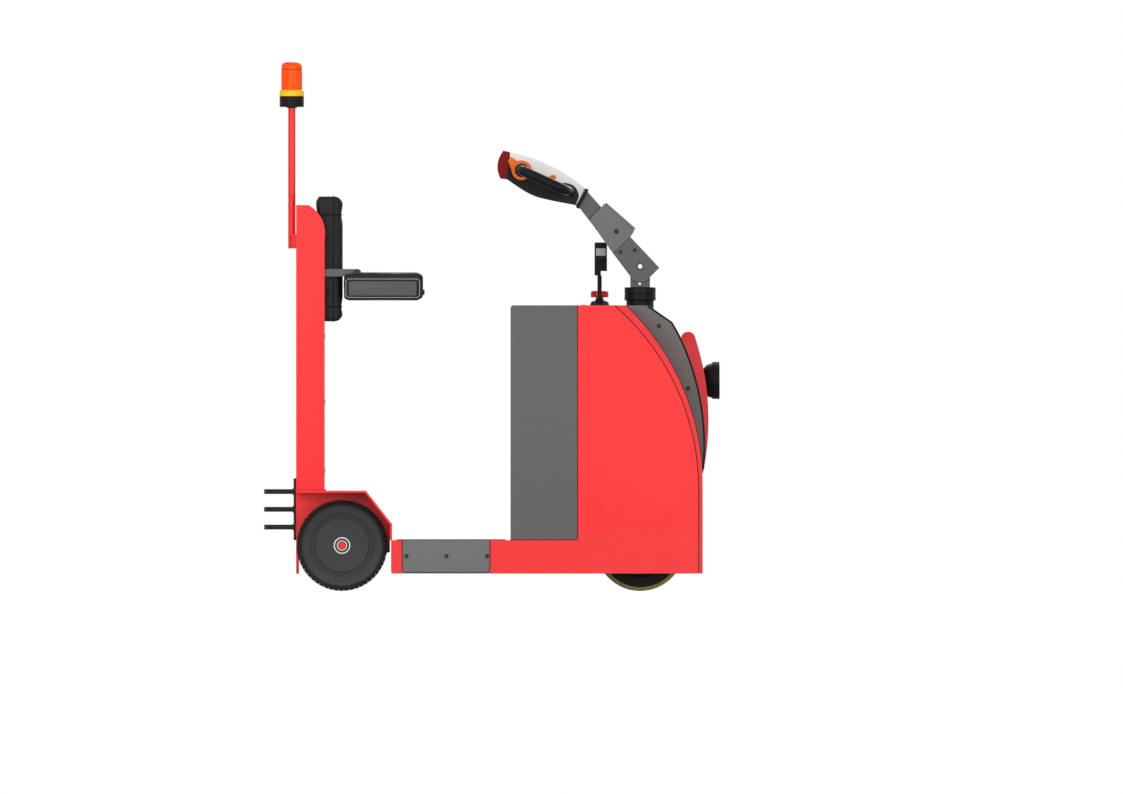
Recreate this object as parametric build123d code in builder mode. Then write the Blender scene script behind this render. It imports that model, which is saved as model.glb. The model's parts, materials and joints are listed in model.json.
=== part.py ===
from build123d import *
import os
from math import atan2, cos, sin, sqrt

os.makedirs("parts", exist_ok=True)

# Stand-on baggage tug. Millimetres; +X forward, +Y to the machine's left, +Z up.
# The origin is on the floor, midway between the hitch's rear end and the headlamp.
# Everything on the drive end is placed from FRONT and everything on the seat end from
# REAR, so a longer machine gets a longer deck between the two.
HALF_LENGTH = 626.3
HALF_WIDTH = 350.0
FRONT, REAR = HALF_LENGTH, -HALF_LENGTH
PLAY = 0.3
CLEAR = 5.0

# Chassis side plates and the standing deck
PLATE_T = 8.0
STEP_T = 4.0
PLATE_OUT = HALF_WIDTH - STEP_T
PLATE_IN = PLATE_OUT - PLATE_T
CHASSIS_BOTTOM = 48.0
DECK_TOP = 140.0
DECK_REAR_X = REAR + 349.3
MAT_T = 4.0
DECK_T = 6.0
STEP_REAR_X, STEP_FRONT_X = DECK_REAR_X + 31.0, FRONT - 631.3
STEP_CORNER_R = 10.0
MEMBER_WIDTH, MEMBER_DEPTH = 40.0, 60.0

# Drive housing: side plates end on one arc, the front shell on another.
# An arc is its centre's x and z and its radius.
HOOD_TOP = 785.7
HOUSING_REAR_X = FRONT - 390.5
ARC_MIDDLE_Z = HOOD_TOP - 505.7
PLATE_ARC = (FRONT - 723.9, ARC_MIDDLE_Z, 666.2)
SHELL_ARC = (FRONT - 731.4, ARC_MIDDLE_Z + 10, 685.2)
SHELL_T = 5.0
HOOD_T = 6.0
BULKHEAD_X = HOUSING_REAR_X + 26.2
BULKHEAD_T = 4.0
MEMBER_XS = (DECK_REAR_X + 27, (DECK_REAR_X + HOUSING_REAR_X) / 2 - 89.4, HOUSING_REAR_X - 205.8)

# Battery under its own cover
COVER_REAR_X = HOUSING_REAR_X - 184.2
COVER_T = 4.0
COVER_CORNER_R = 8.0
BATTERY_REAR_X, BATTERY_FRONT_X = COVER_REAR_X + 10.4, BULKHEAD_X - 6.0
BATTERY_HALF_WIDTH = PLATE_IN - 16.0
BATTERY_TOP = HOOD_TOP - 21.7

# Column cover, lamp fairing and headlamp on the front shell
COLUMN_COVER_ARC = (FRONT - 730.3, ARC_MIDDLE_Z + 120, 690.0)
COLUMN_COVER_HALF = 190.0
COLUMN_COVER_T = 4.0
COLUMN_COVER_LOW = ARC_MIDDLE_Z + 44
COLUMN_COVER_INNER_LOW = ARC_MIDDLE_Z + 200
COLUMN_COVER_ARC_TOP = HOOD_TOP - 73.7
COLUMN_COVER_BREAK = ((FRONT - 197.3, HOOD_TOP - 0.5), (FRONT - 130.3, HOOD_TOP - 46.7))
FAIRING_ARC = (FRONT - 751.3, ARC_MIDDLE_Z + 190, 721.0)
FAIRING_TOP_Z = HOOD_TOP - 90.7
FAIRING_RISE = 18.0
FAIRING_LOW = ARC_MIDDLE_Z + 60
FAIRING_HALF_TOP, FAIRING_HALF_LOW = 100.0, 90.0
FAIRING_CORNER_R = 30.0
FAIRING_DRAFT = 18.0
LAMP_Z = HOOD_TOP - 206.7
LAMP_R = 50.0
LAMP_BACK_X = FRONT - 45.3
LAMP_BACK_R = 30.0
LAMP_RIM_X = FRONT - 20.3
LAMP_LENS_X = FRONT - 10.3
LAMP_RIM_T = 5.0
LAMP_BOWL_DEPTH = 22.0

# Rear wheels on their axle; the tyre's outer face is the widest point of the wheel
WHEEL_R = 125.0
WHEEL_WIDTH = 80.0
WHEEL_GAP = 15.0
WHEEL_Y = HALF_WIDTH - CLEAR - WHEEL_WIDTH / 2
AXLE_X = REAR + 214.5
AXLE_R = 9.6
AXLE_SHOULDER_R = 21.6
RIM_R = 84.0
SHOULDER_R = 110.0
BEARING_R = 23.0
BEARING_RING_R = 14.0

# Rear frame: box between the wheels under one bent mudguard
FRAME_HALF = WHEEL_Y - WHEEL_WIDTH / 2 - WHEEL_GAP
FRAME_T = 6.0
FRAME_REAR_X = REAR + 88.3
END_PLATE_T = 8.0
END_PLATE_LOW = 47.0
GUARD_TOP = 276.0
GUARD_T = 6.0
GUARD_SLANT_TOP_X = REAR + 280.3
GUARD_FRONT_X = REAR + 352.3
GUARD_SLANT_LOW = 184.0
FRAME_LOW = 90.0
FRAME_LOW_FRONT = 107.0

# Towing hitch: three tongues on a plate, one pin hole through them all
HITCH_PLATE_T = 7.0
HITCH_PLATE_HALF = 75.0
HITCH_PLATE_Z = (140.0, 310.0)
TONGUE_Z = (175.8, 224.6, 273.4)
TONGUE_T = 13.5
TONGUE_R = 38.5
PIN_HOLE_R = 14.0
TONGUE_X = REAR + TONGUE_R

# Backrest tower, its pad and the fold-up seat
TOWER_HALF = 210.0
TOWER_T = 6.0
TOWER_FRONT_X = REAR + 166.9
TOWER_TOP = 1061.5
TOWER_CORNER = (
    (TOWER_FRONT_X - 44.6, TOWER_TOP),
    (TOWER_FRONT_X - 10.5, TOWER_TOP - 33.5),
    (TOWER_FRONT_X, TOWER_TOP - 89.5),
)
PANEL_STEP_Z = 732.0
PAD_REAR_X = TOWER_FRONT_X - 21.2
PAD_FRONT_X = PAD_REAR_X + 68.0
PAD_LOW, PAD_TOP = 740.3, 1086.3
PAD_HALF = TOWER_HALF - 20.0
PAD_R = 15.0
PAD_CORNER_R = 24.0
ARM_OUT = TOWER_HALF - TOWER_T
ARM_IN = ARM_OUT - 8.0
ARM_Z = (864.9, 885.5)
ARM_NOSE_X = PAD_FRONT_X + 53.0
ARM_CHAMFER = 6.0
SEAT_REAR_X, SEAT_FRONT_X = PAD_FRONT_X + CLEAR, PAD_FRONT_X + 224.9
SEAT_LOW, SEAT_TOP = ARM_Z[0] - 64.1, ARM_Z[0] + 9.9
SEAT_HALF = TOWER_HALF + 9.0
SEAT_EDGE_R = 11.0
SEAT_PIVOT_BACK = (ARM_Z[1] - ARM_Z[0]) / 2
SEAT_PIVOT_X = ARM_NOSE_X - SEAT_PIVOT_BACK
SEAT_PIVOT_Z = ARM_Z[0] + SEAT_PIVOT_BACK
SEAT_PIN_R = 5.0
EAR_T = 4.0
EAR_R = 10.0
EAR_GAP = 3.0
EAR_HALF_LENGTH = 24.0

# Warning beacon on its pole
POLE_X = FRAME_REAR_X - 12.0
POLE_R = 10.0
POLE_T = 2.0
POLE_Z = (942.0, 1331.0)
POLE_CLAMP_TOP = 982.0
POLE_CLAMP_T = 5.0
BEACON_R = 33.5
BEACON_BASE_H, BEACON_RING_H = 30.0, 17.0
BEACON_NOTCHES = 12
BEACON_NOTCH_WIDTH, BEACON_NOTCH_H = 7.0, 5.0
LENS_R = 28.5
LENS_SEAM_Z = POLE_Z[1] + 103.0
LENS_TOP = POLE_Z[1] + 123.5
LENS_TOP_R = 12.6
LENS_GROOVE = 1.5

# Drive wheel, gearbox and motor, all turned by the steering column
STEER_X = FRONT - 218.3
DRIVE_R = 122.5
DRIVE_WIDTH = 76.0
DRIVE_HUB_R = DRIVE_R - 10.5
DRIVE_RECESS_R = DRIVE_HUB_R - 32.0
DRIVE_BOSS_R = 34.0
GEARBOX_R = DRIVE_RECESS_R - 2.0
GEARBOX_Y = (-108.0, -46.0)
GEARBOX_RIM_T = 10.0
GEARBOX_BOLTS = 8
TURNTABLE_R = 108.0
TURNTABLE_Z = (2 * DRIVE_R + 5.5, 2 * DRIVE_R + 16.7)
MOUNT_PLATE_Z = (TURNTABLE_Z[1] + PLAY, TURNTABLE_Z[1] + PLAY + 12.0)
MOUNT_HOLE_R = 86.0
MOTOR_R = 80.0
MOTOR_TOP = 470.0
MOTOR_RIBS = 16
MOTOR_CAP_H = 20.0
COLUMN_R = 37.5
COLUMN_T = 5.0
COLLAR_R = 43.0
COLLAR_EDGE_R = 3.0
COLLAR_GROOVE = 2.0
COLLAR_Z = (HOOD_TOP + 12.9, HOOD_TOP + 49.8)

# Tiller: bracket, pivot, arm and operating head. Outlines are offsets from the pivot.
PIVOT_X, PIVOT_Z = STEER_X, HOOD_TOP + 106.7
PIVOT_TUBE_R = 8.8
PIVOT_BORE_R = 6.3
BRACKET_HALF_X = 27.0
BRACKET_HALF_Y = 30.0
BRACKET_EAR_T = 9.0
BRACKET_BASE_TOP = COLLAR_Z[1] + 17.5
BRACKET_HOLE = (PIVOT_X - 1, PIVOT_Z - 47.4, 3.3)
TILLER_IN, TILLER_OUT = 36.0, 42.0
TILLER_COVER_HALF = 47.0
TILLER_LIP = 2.0
HEAD_HALF = 46.0
HEAD_NECK_HALF = 34.0
GRIP_R = 14.0
GRIP_HALF_SPAN = 160.0
GRIP_BEND_R = 32.0

# Lever and stop switch on the hood
CONTROL_X = FRONT - 329.8
LEVER_Y = 110.0
LEVER_BOOT_R, LEVER_STEM_R = 16.0, 6.0
LEVER_STEM_TOP = HOOD_TOP + 82.0
LEVER_GRIP_HALF = 12.0
STOP_Y = 190.0
STOP_BASE_R, STOP_STEM_R, STOP_CAP_R = 27.0, 10.3, 24.5
STOP_CAP_EDGE_R = 6.0
STOP_BASE_TOP = HOOD_TOP + 9.0
STOP_CAP_Z = (HOOD_TOP + 22.0, HOOD_TOP + 40.0)


def arc_point(arc, z):
    """Point of an arc (centre x, centre z, radius) on its front side at height z."""
    return (arc[0] + sqrt(arc[2] ** 2 - (z - arc[1]) ** 2), z)


def arc_between(arc, z_low, z_high):
    """Front-side stretch of an arc from one height to another, inside a BuildLine."""
    middle = (z_low + z_high) / 2
    return ThreePointArc(arc_point(arc, z_low), arc_point(arc, middle), arc_point(arc, z_high))


def shrunk(arc, amount):
    """The same arc with its radius less by an amount."""
    return (arc[0], arc[1], arc[2] - amount)


def upright(side, near, far):
    """Plane of constant y whose extrusion by far - near fills near to far on one side."""
    return Plane.XZ.offset(near if side < 0 else -far)


def axle(x, z):
    """Axis across the machine."""
    return Axis((x, 0, z), (0, 1, 0))


def from_pivot(*offsets):
    """Points given by their offsets from the tiller's pivot."""
    return [(PIVOT_X + x, PIVOT_Z + z) for x, z in offsets]


# Chassis side plate with the housing wall above its front half
def make_side_plate(side):
    with BuildPart() as plate:
        with BuildSketch(upright(side, PLATE_IN, PLATE_OUT)):
            with BuildLine():
                front_low = arc_point(PLATE_ARC, PLATE_ARC[1])
                Polyline(
                    arc_point(PLATE_ARC, HOOD_TOP),
                    (HOUSING_REAR_X, HOOD_TOP),
                    (HOUSING_REAR_X, DECK_TOP),
                    (DECK_REAR_X, DECK_TOP),
                    (DECK_REAR_X, CHASSIS_BOTTOM),
                    (front_low[0], CHASSIS_BOTTOM),
                    front_low,
                )
                arc_between(PLATE_ARC, PLATE_ARC[1], HOOD_TOP)
            make_face()
        extrude(amount=PLATE_T)
        lower_rear = plate.edges().filter_by(Axis.Y).group_by(Axis.X)[0].sort_by(Axis.Z)[0]
        fillet(lower_rear, CLEAR)
    return plate


side_plate_left = make_side_plate(1)
side_plate_right = make_side_plate(-1)

# Grey kick plates screwed on both sides of the deck
with BuildPart() as step_plates:
    with BuildSketch(upright(-1, PLATE_OUT, HALF_WIDTH)):
        with Locations(((STEP_REAR_X + STEP_FRONT_X) / 2, (CHASSIS_BOTTOM + DECK_TOP) / 2)):
            Rectangle(STEP_FRONT_X - STEP_REAR_X, DECK_TOP - CHASSIS_BOTTOM)
    extrude(amount=STEP_T)
    fillet(step_plates.edges().filter_by(Axis.Y).group_by(Axis.Z)[0], STEP_CORNER_R)
    mirror(about=Plane.XZ)

# Deck plate on open-topped cross members, and the rubber mat flush with the side plates
DECK_UNDER = DECK_TOP - MAT_T - DECK_T
with BuildPart() as deck_frame:
    with BuildSketch(Plane.XY.offset(DECK_UNDER)):
        with Locations(((DECK_REAR_X + BULKHEAD_X) / 2, 0)):
            Rectangle(BULKHEAD_X - DECK_REAR_X, 2 * PLATE_IN)
    extrude(amount=DECK_T)
    for member_x in MEMBER_XS:
        with BuildSketch(Plane.XZ):
            with Locations((member_x, DECK_UNDER - MEMBER_DEPTH / 2)):
                Rectangle(MEMBER_WIDTH, MEMBER_DEPTH)
        extrude(amount=PLATE_IN, both=True)
        with BuildSketch(Plane.XZ):
            with Locations((member_x, DECK_UNDER - (MEMBER_DEPTH - BULKHEAD_T) / 2)):
                Rectangle(MEMBER_WIDTH - 2 * BULKHEAD_T, MEMBER_DEPTH - BULKHEAD_T)
        extrude(amount=PLATE_IN, both=True, mode=Mode.SUBTRACT)

with BuildPart() as deck_mat:
    with BuildSketch(Plane.XY.offset(DECK_TOP - MAT_T)):
        with Locations(((DECK_REAR_X + COVER_REAR_X) / 2, 0)):
            Rectangle(COVER_REAR_X - DECK_REAR_X - 2 * CLEAR, 2 * (PLATE_IN - 1))
    extrude(amount=MAT_T)

# Bulkhead behind the drive bay, with the plate that carries the drive unit
with BuildPart() as drive_bay:
    with BuildSketch(Plane.YZ.offset(BULKHEAD_X)):
        with Locations((0, (DECK_UNDER + HOOD_TOP - HOOD_T) / 2)):
            Rectangle(2 * PLATE_IN, HOOD_TOP - HOOD_T - DECK_UNDER)
    extrude(amount=BULKHEAD_T)
    with BuildSketch(Plane.XY.offset(MOUNT_PLATE_Z[0])):
        mount_front = arc_point(PLATE_ARC, PLATE_ARC[1])[0] - 2
        with Locations(((BULKHEAD_X + mount_front) / 2, 0)):
            Rectangle(mount_front - BULKHEAD_X, 2 * PLATE_IN)
        with Locations((STEER_X, 0)):
            Circle(MOUNT_HOLE_R, mode=Mode.SUBTRACT)
    extrude(amount=MOUNT_PLATE_Z[1] - MOUNT_PLATE_Z[0])

# Front shell: a curved skin with side flanges that meet the side plates' edges
SKIN_ARC = shrunk(SHELL_ARC, SHELL_T)
with BuildPart() as front_shell:
    with BuildSketch(Plane.XZ):
        with BuildLine():
            Polyline(
                arc_point(SHELL_ARC, HOOD_TOP),
                arc_point(PLATE_ARC, HOOD_TOP),
            )
            arc_between(PLATE_ARC, PLATE_ARC[1], HOOD_TOP)
            Polyline(
                arc_point(PLATE_ARC, PLATE_ARC[1]),
                (arc_point(PLATE_ARC, PLATE_ARC[1])[0], CHASSIS_BOTTOM),
                (arc_point(SHELL_ARC, SHELL_ARC[1])[0], CHASSIS_BOTTOM),
                arc_point(SHELL_ARC, SHELL_ARC[1]),
            )
            arc_between(SHELL_ARC, SHELL_ARC[1], HOOD_TOP)
        make_face()
    extrude(amount=PLATE_OUT, both=True)
    with BuildSketch(Plane.XZ):
        with BuildLine():
            Polyline(
                arc_point(SKIN_ARC, HOOD_TOP + HOOD_T),
                (arc_point(PLATE_ARC, HOOD_TOP)[0] - HOOD_T, HOOD_TOP + HOOD_T),
                (BULKHEAD_X, HOOD_TOP - HOOD_T),
                (BULKHEAD_X, CHASSIS_BOTTOM - HOOD_T),
                (arc_point(SKIN_ARC, SKIN_ARC[1])[0], CHASSIS_BOTTOM - HOOD_T),
                arc_point(SKIN_ARC, SKIN_ARC[1]),
            )
            arc_between(SKIN_ARC, SKIN_ARC[1], HOOD_TOP + HOOD_T)
        make_face()
    extrude(amount=PLATE_IN, both=True, mode=Mode.SUBTRACT)
    with BuildSketch(Plane.XY.offset(GUARD_TOP)):
        with Locations((STEER_X, 0)):
            Circle(COLLAR_R + CLEAR)
    extrude(amount=HOOD_TOP, mode=Mode.SUBTRACT)

# Flat hood between the housing walls
with BuildPart() as hood_panel:
    with BuildSketch(Plane.XY.offset(HOOD_TOP - HOOD_T)):
        hood_front = arc_point(SKIN_ARC, HOOD_TOP)[0] - 2
        with Locations(((HOUSING_REAR_X + hood_front) / 2, 0)):
            Rectangle(hood_front - HOUSING_REAR_X, 2 * PLATE_IN)
    extrude(amount=HOOD_T)

# Battery cover: a folded sheet box, open below and towards the housing
with BuildPart() as battery_cover:
    with BuildSketch(Plane.XZ):
        with Locations(((COVER_REAR_X + HOUSING_REAR_X) / 2, (DECK_TOP + HOOD_TOP) / 2)):
            Rectangle(HOUSING_REAR_X - COVER_REAR_X, HOOD_TOP - DECK_TOP)
    extrude(amount=PLATE_OUT, both=True)
    fillet(battery_cover.edges().filter_by(Axis.Y).group_by(Axis.X)[0].sort_by(Axis.Z)[-1], COVER_CORNER_R)
    with BuildSketch(Plane.XZ):
        cover_middle = ((COVER_REAR_X + HOUSING_REAR_X) / 2, (DECK_TOP + HOOD_TOP) / 2)
        with Locations((cover_middle[0] + COVER_T, cover_middle[1] - COVER_T)):
            Rectangle(HOUSING_REAR_X - COVER_REAR_X, HOOD_TOP - DECK_TOP)
    extrude(amount=PLATE_OUT - COVER_T, both=True, mode=Mode.SUBTRACT)

with BuildPart() as battery:
    with BuildSketch(Plane.XY.offset(DECK_TOP - MAT_T)):
        with Locations(((BATTERY_REAR_X + BATTERY_FRONT_X) / 2, 0)):
            RectangleRounded(BATTERY_FRONT_X - BATTERY_REAR_X, 2 * BATTERY_HALF_WIDTH, CLEAR)
    extrude(amount=BATTERY_TOP - DECK_TOP + MAT_T)

# Column cover: a moulded cap on the shell with rounded front edges
COVER_SEAT_ARC = shrunk(SHELL_ARC, -PLAY)
with BuildPart() as column_cover:
    with BuildSketch(Plane.XZ):
        with BuildLine():
            Polyline(
                arc_point(COVER_SEAT_ARC, HOOD_TOP),
                COLUMN_COVER_BREAK[0],
                COLUMN_COVER_BREAK[1],
                arc_point(COLUMN_COVER_ARC, COLUMN_COVER_ARC_TOP),
            )
            arc_between(COLUMN_COVER_ARC, COLUMN_COVER_LOW, COLUMN_COVER_ARC_TOP)
            Line(arc_point(COLUMN_COVER_ARC, COLUMN_COVER_LOW), arc_point(COVER_SEAT_ARC, COLUMN_COVER_LOW))
            arc_between(COVER_SEAT_ARC, COLUMN_COVER_LOW, HOOD_TOP)
        make_face()
    extrude(amount=COLUMN_COVER_HALF, both=True)
    with BuildSketch(Plane.XZ):
        with BuildLine():
            inner_top = HOOD_TOP - COLUMN_COVER_T
            inner_arc_top = COLUMN_COVER_ARC_TOP - 3 * COLUMN_COVER_T
            inner_arc = shrunk(COLUMN_COVER_ARC, COLUMN_COVER_T)
            Polyline(
                (arc_point(COVER_SEAT_ARC, inner_top)[0] - 20, inner_top),
                (COLUMN_COVER_BREAK[0][0] - 2, inner_top),
                (COLUMN_COVER_BREAK[1][0] - 3, COLUMN_COVER_BREAK[1][1] - 3.2),
                arc_point(inner_arc, inner_arc_top),
            )
            arc_between(inner_arc, COLUMN_COVER_INNER_LOW, inner_arc_top)
            Polyline(
                arc_point(inner_arc, COLUMN_COVER_INNER_LOW),
                (arc_point(inner_arc, COLUMN_COVER_INNER_LOW)[0] - 60, COLUMN_COVER_INNER_LOW),
                (arc_point(COVER_SEAT_ARC, inner_top)[0] - 20, inner_top),
            )
        make_face()
    extrude(amount=COLUMN_COVER_HALF - COLUMN_COVER_T, both=True, mode=Mode.SUBTRACT)
    with BuildSketch(Plane.XY.offset(GUARD_TOP)):
        with Locations((STEER_X, 0)):
            Circle(COLUMN_R + CLEAR)
    extrude(amount=HOOD_TOP, mode=Mode.SUBTRACT)

# Lamp fairing: side outline and front outline crossed, with a pocket for the lamp
FAIRING_SEAT_ARC = shrunk(COLUMN_COVER_ARC, -PLAY)
with BuildPart() as lamp_fairing:
    with BuildSketch(Plane.XZ):
        with BuildLine():
            seat_top = arc_point(FAIRING_SEAT_ARC, FAIRING_TOP_Z)
            front_top = arc_point(FAIRING_ARC, FAIRING_TOP_Z)
            crown = ((seat_top[0] + front_top[0]) / 2, FAIRING_TOP_Z + FAIRING_RISE)
            ThreePointArc(seat_top, crown, front_top)
            arc_between(FAIRING_ARC, FAIRING_LOW, FAIRING_TOP_Z)
            Line(arc_point(FAIRING_ARC, FAIRING_LOW), arc_point(FAIRING_SEAT_ARC, FAIRING_LOW))
            arc_between(FAIRING_SEAT_ARC, FAIRING_LOW, FAIRING_TOP_Z)
        make_face()
    extrude(amount=FAIRING_HALF_TOP, both=True)
    outline_x = seat_top[0] - 20
    with BuildSketch(Plane.YZ.offset(outline_x)) as front_outline:
        with BuildLine():
            Polyline(
                (-FAIRING_HALF_TOP, crown[1] + 25),
                (FAIRING_HALF_TOP, crown[1] + 25),
                (FAIRING_HALF_LOW, FAIRING_LOW - 30),
                (-FAIRING_HALF_LOW, FAIRING_LOW - 30),
                close=True,
            )
        make_face()
        fillet(front_outline.vertices(), FAIRING_CORNER_R)
    extrude(amount=FRONT - outline_x, taper=FAIRING_DRAFT, mode=Mode.INTERSECT)
    with BuildSketch(Plane.YZ.offset(LAMP_BACK_X)):
        with Locations((0, LAMP_Z)):
            Circle(LAMP_R + 2)
    extrude(amount=HALF_LENGTH, mode=Mode.SUBTRACT)

# Headlamp: a turned housing with a finned rim, and its lens
with BuildPart() as headlamp_housing:
    with BuildSketch(Plane.XZ):
        with BuildLine():
            Polyline(
                (LAMP_BACK_X, LAMP_Z),
                (LAMP_BACK_X, LAMP_Z + LAMP_BACK_R),
            )
            back_edge = (LAMP_BACK_X, LAMP_Z + LAMP_BACK_R)
            back_middle = (LAMP_BACK_X + 11, LAMP_Z + LAMP_R - 7)
            ThreePointArc(back_edge, back_middle, (LAMP_RIM_X, LAMP_Z + LAMP_R - 2))
            Polyline(
                (LAMP_RIM_X, LAMP_Z + LAMP_R - 2),
                (LAMP_RIM_X, LAMP_Z + LAMP_R),
                (HALF_LENGTH, LAMP_Z + LAMP_R),
                (HALF_LENGTH, LAMP_Z + LAMP_R - LAMP_RIM_T),
                (LAMP_LENS_X, LAMP_Z + LAMP_R - LAMP_RIM_T),
                (LAMP_LENS_X - LAMP_BOWL_DEPTH, LAMP_Z + LAMP_R / 4),
                (LAMP_LENS_X - LAMP_BOWL_DEPTH, LAMP_Z),
                (LAMP_BACK_X, LAMP_Z),
            )
        make_face()
    revolve(axis=Axis((0, 0, LAMP_Z), (1, 0, 0)))

with BuildPart() as headlamp_lens:
    with BuildSketch(Plane.YZ.offset(LAMP_LENS_X)):
        with Locations((0, LAMP_Z)):
            Circle(LAMP_R - LAMP_RIM_T)
    extrude(amount=LAMP_RIM_T)
    fillet(headlamp_lens.edges().group_by(Axis.X)[-1], 2)

# Rear frame: end plate and box walls between the wheels
GUARD_POINTS = (
    (FRAME_REAR_X, GUARD_TOP),
    (GUARD_SLANT_TOP_X, GUARD_TOP),
    (GUARD_FRONT_X, GUARD_SLANT_LOW),
    (GUARD_FRONT_X, DECK_TOP),
)
SLANT = atan2(GUARD_TOP - GUARD_SLANT_LOW, GUARD_FRONT_X - GUARD_SLANT_TOP_X)
GUARD_IN_TOP_X = GUARD_SLANT_TOP_X - GUARD_T * (1 - cos(SLANT)) / sin(SLANT)
GUARD_IN_LOW_Z = GUARD_SLANT_LOW - GUARD_T * (1 - sin(SLANT)) / cos(SLANT)
GUARD_INNER = (
    (GUARD_FRONT_X - GUARD_T, DECK_TOP),
    (GUARD_FRONT_X - GUARD_T, GUARD_IN_LOW_Z),
    (GUARD_IN_TOP_X, GUARD_TOP - GUARD_T),
    (FRAME_REAR_X, GUARD_TOP - GUARD_T),
)

with BuildPart() as rear_frame:
    with BuildSketch(Plane.XZ):
        with BuildLine():
            Polyline(
                (FRAME_REAR_X, GUARD_TOP - GUARD_T),
                GUARD_INNER[2],
                GUARD_INNER[1],
                (GUARD_FRONT_X - GUARD_T, FRAME_LOW_FRONT),
                (AXLE_X + 70, FRAME_LOW),
                (FRAME_REAR_X, FRAME_LOW),
                close=True,
            )
        make_face()
    extrude(amount=FRAME_HALF, both=True)
    with BuildSketch(Plane.XZ):
        with BuildLine():
            Polyline(
                (FRAME_REAR_X + END_PLATE_T, GUARD_TOP),
                (GUARD_FRONT_X, GUARD_TOP),
                (GUARD_FRONT_X, FRAME_LOW - 10),
                (FRAME_REAR_X + END_PLATE_T, FRAME_LOW - 10),
                close=True,
            )
        make_face()
    extrude(amount=FRAME_HALF - FRAME_T, both=True, mode=Mode.SUBTRACT)
    with BuildSketch(Plane.YZ.offset(FRAME_REAR_X)):
        with Locations((0, (END_PLATE_LOW + FRAME_LOW) / 2 + 5)):
            Rectangle(2 * FRAME_HALF, FRAME_LOW - END_PLATE_LOW + 10)
    extrude(amount=END_PLATE_T)
    fillet(rear_frame.edges().filter_by(Axis.Y).group_by(Axis.Z)[0], 3.5)
    with BuildSketch(Plane.XZ):
        with Locations((AXLE_X, WHEEL_R)):
            Circle(AXLE_R)
    extrude(amount=FRAME_HALF, both=True, mode=Mode.SUBTRACT)

with BuildPart() as mudguard:
    with BuildSketch(Plane.XZ):
        with BuildLine():
            Polyline(*GUARD_POINTS, *GUARD_INNER, close=True)
        make_face()
    extrude(amount=PLATE_OUT, both=True)

# Axle through the frame's walls, with a shoulder inside each wheel
with BuildPart() as rear_axle:
    with BuildSketch(Plane.XZ):
        with Locations((AXLE_X, WHEEL_R)):
            Circle(AXLE_R)
    extrude(amount=WHEEL_Y + WHEEL_WIDTH / 2 - 2, both=True)
    with BuildSketch(upright(-1, FRAME_HALF, FRAME_HALF + WHEEL_GAP - CLEAR)):
        with Locations((AXLE_X, WHEEL_R)):
            Circle(AXLE_SHOULDER_R)
    extrude(amount=WHEEL_GAP - CLEAR)
    with BuildSketch(upright(1, FRAME_HALF, FRAME_HALF + WHEEL_GAP - CLEAR)):
        with Locations((AXLE_X, WHEEL_R)):
            Circle(AXLE_SHOULDER_R)
    extrude(amount=WHEEL_GAP - CLEAR)


# Rear wheel: tyre and moulded disc with its bearing, each turned about the axle
def turned(side, profile_points):
    """Ring turned about the rear axle from (distance from wheel centre outward, radius) points."""
    with BuildPart() as ring:
        with BuildSketch(Plane.YZ.offset(AXLE_X)):
            with BuildLine():
                Polyline(*[(side * (WHEEL_Y + out), WHEEL_R + r) for out, r in profile_points], close=True)
            make_face()
        revolve(axis=axle(AXLE_X, WHEEL_R))
    return ring


HALF_TYRE = WHEEL_WIDTH / 2
TYRE_PROFILE = (
    (-HALF_TYRE + 3, RIM_R),
    (-HALF_TYRE, RIM_R + 6),
    (-HALF_TYRE, SHOULDER_R),
    (-HALF_TYRE + 4, SHOULDER_R + 8),
    (-HALF_TYRE + 11, WHEEL_R - 2),
    (-HALF_TYRE + 17, WHEEL_R),
    (HALF_TYRE - 17, WHEEL_R),
    (HALF_TYRE - 11, WHEEL_R - 2),
    (HALF_TYRE - 4, SHOULDER_R + 8),
    (HALF_TYRE, SHOULDER_R),
    (HALF_TYRE, RIM_R + 6),
    (HALF_TYRE - 3, RIM_R),
)
DISC_PROFILE = (
    (-HALF_TYRE + 5, AXLE_R + PLAY),
    (-HALF_TYRE + 5, BEARING_R),
    (-HALF_TYRE + 3, BEARING_R + 2),
    (-HALF_TYRE + 3, RIM_R),
    (HALF_TYRE - 3, RIM_R),
    (HALF_TYRE - 3, RIM_R - 3),
    (HALF_TYRE - 7, RIM_R - 4),
    (HALF_TYRE - 7, RIM_R - 9),
    (HALF_TYRE - 4, RIM_R - 11),
    (HALF_TYRE - 4, BEARING_R - 3),
    (HALF_TYRE - 6, BEARING_R - 4),
    (HALF_TYRE - 6, BEARING_RING_R + 1),
    (HALF_TYRE - 4, BEARING_RING_R),
    (HALF_TYRE - 4, AXLE_R + PLAY),
)
rear_tyre_left = turned(1, TYRE_PROFILE)
rear_tyre_right = turned(-1, TYRE_PROFILE)
rear_disc_left = turned(1, DISC_PROFILE)
rear_disc_right = turned(-1, DISC_PROFILE)

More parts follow.
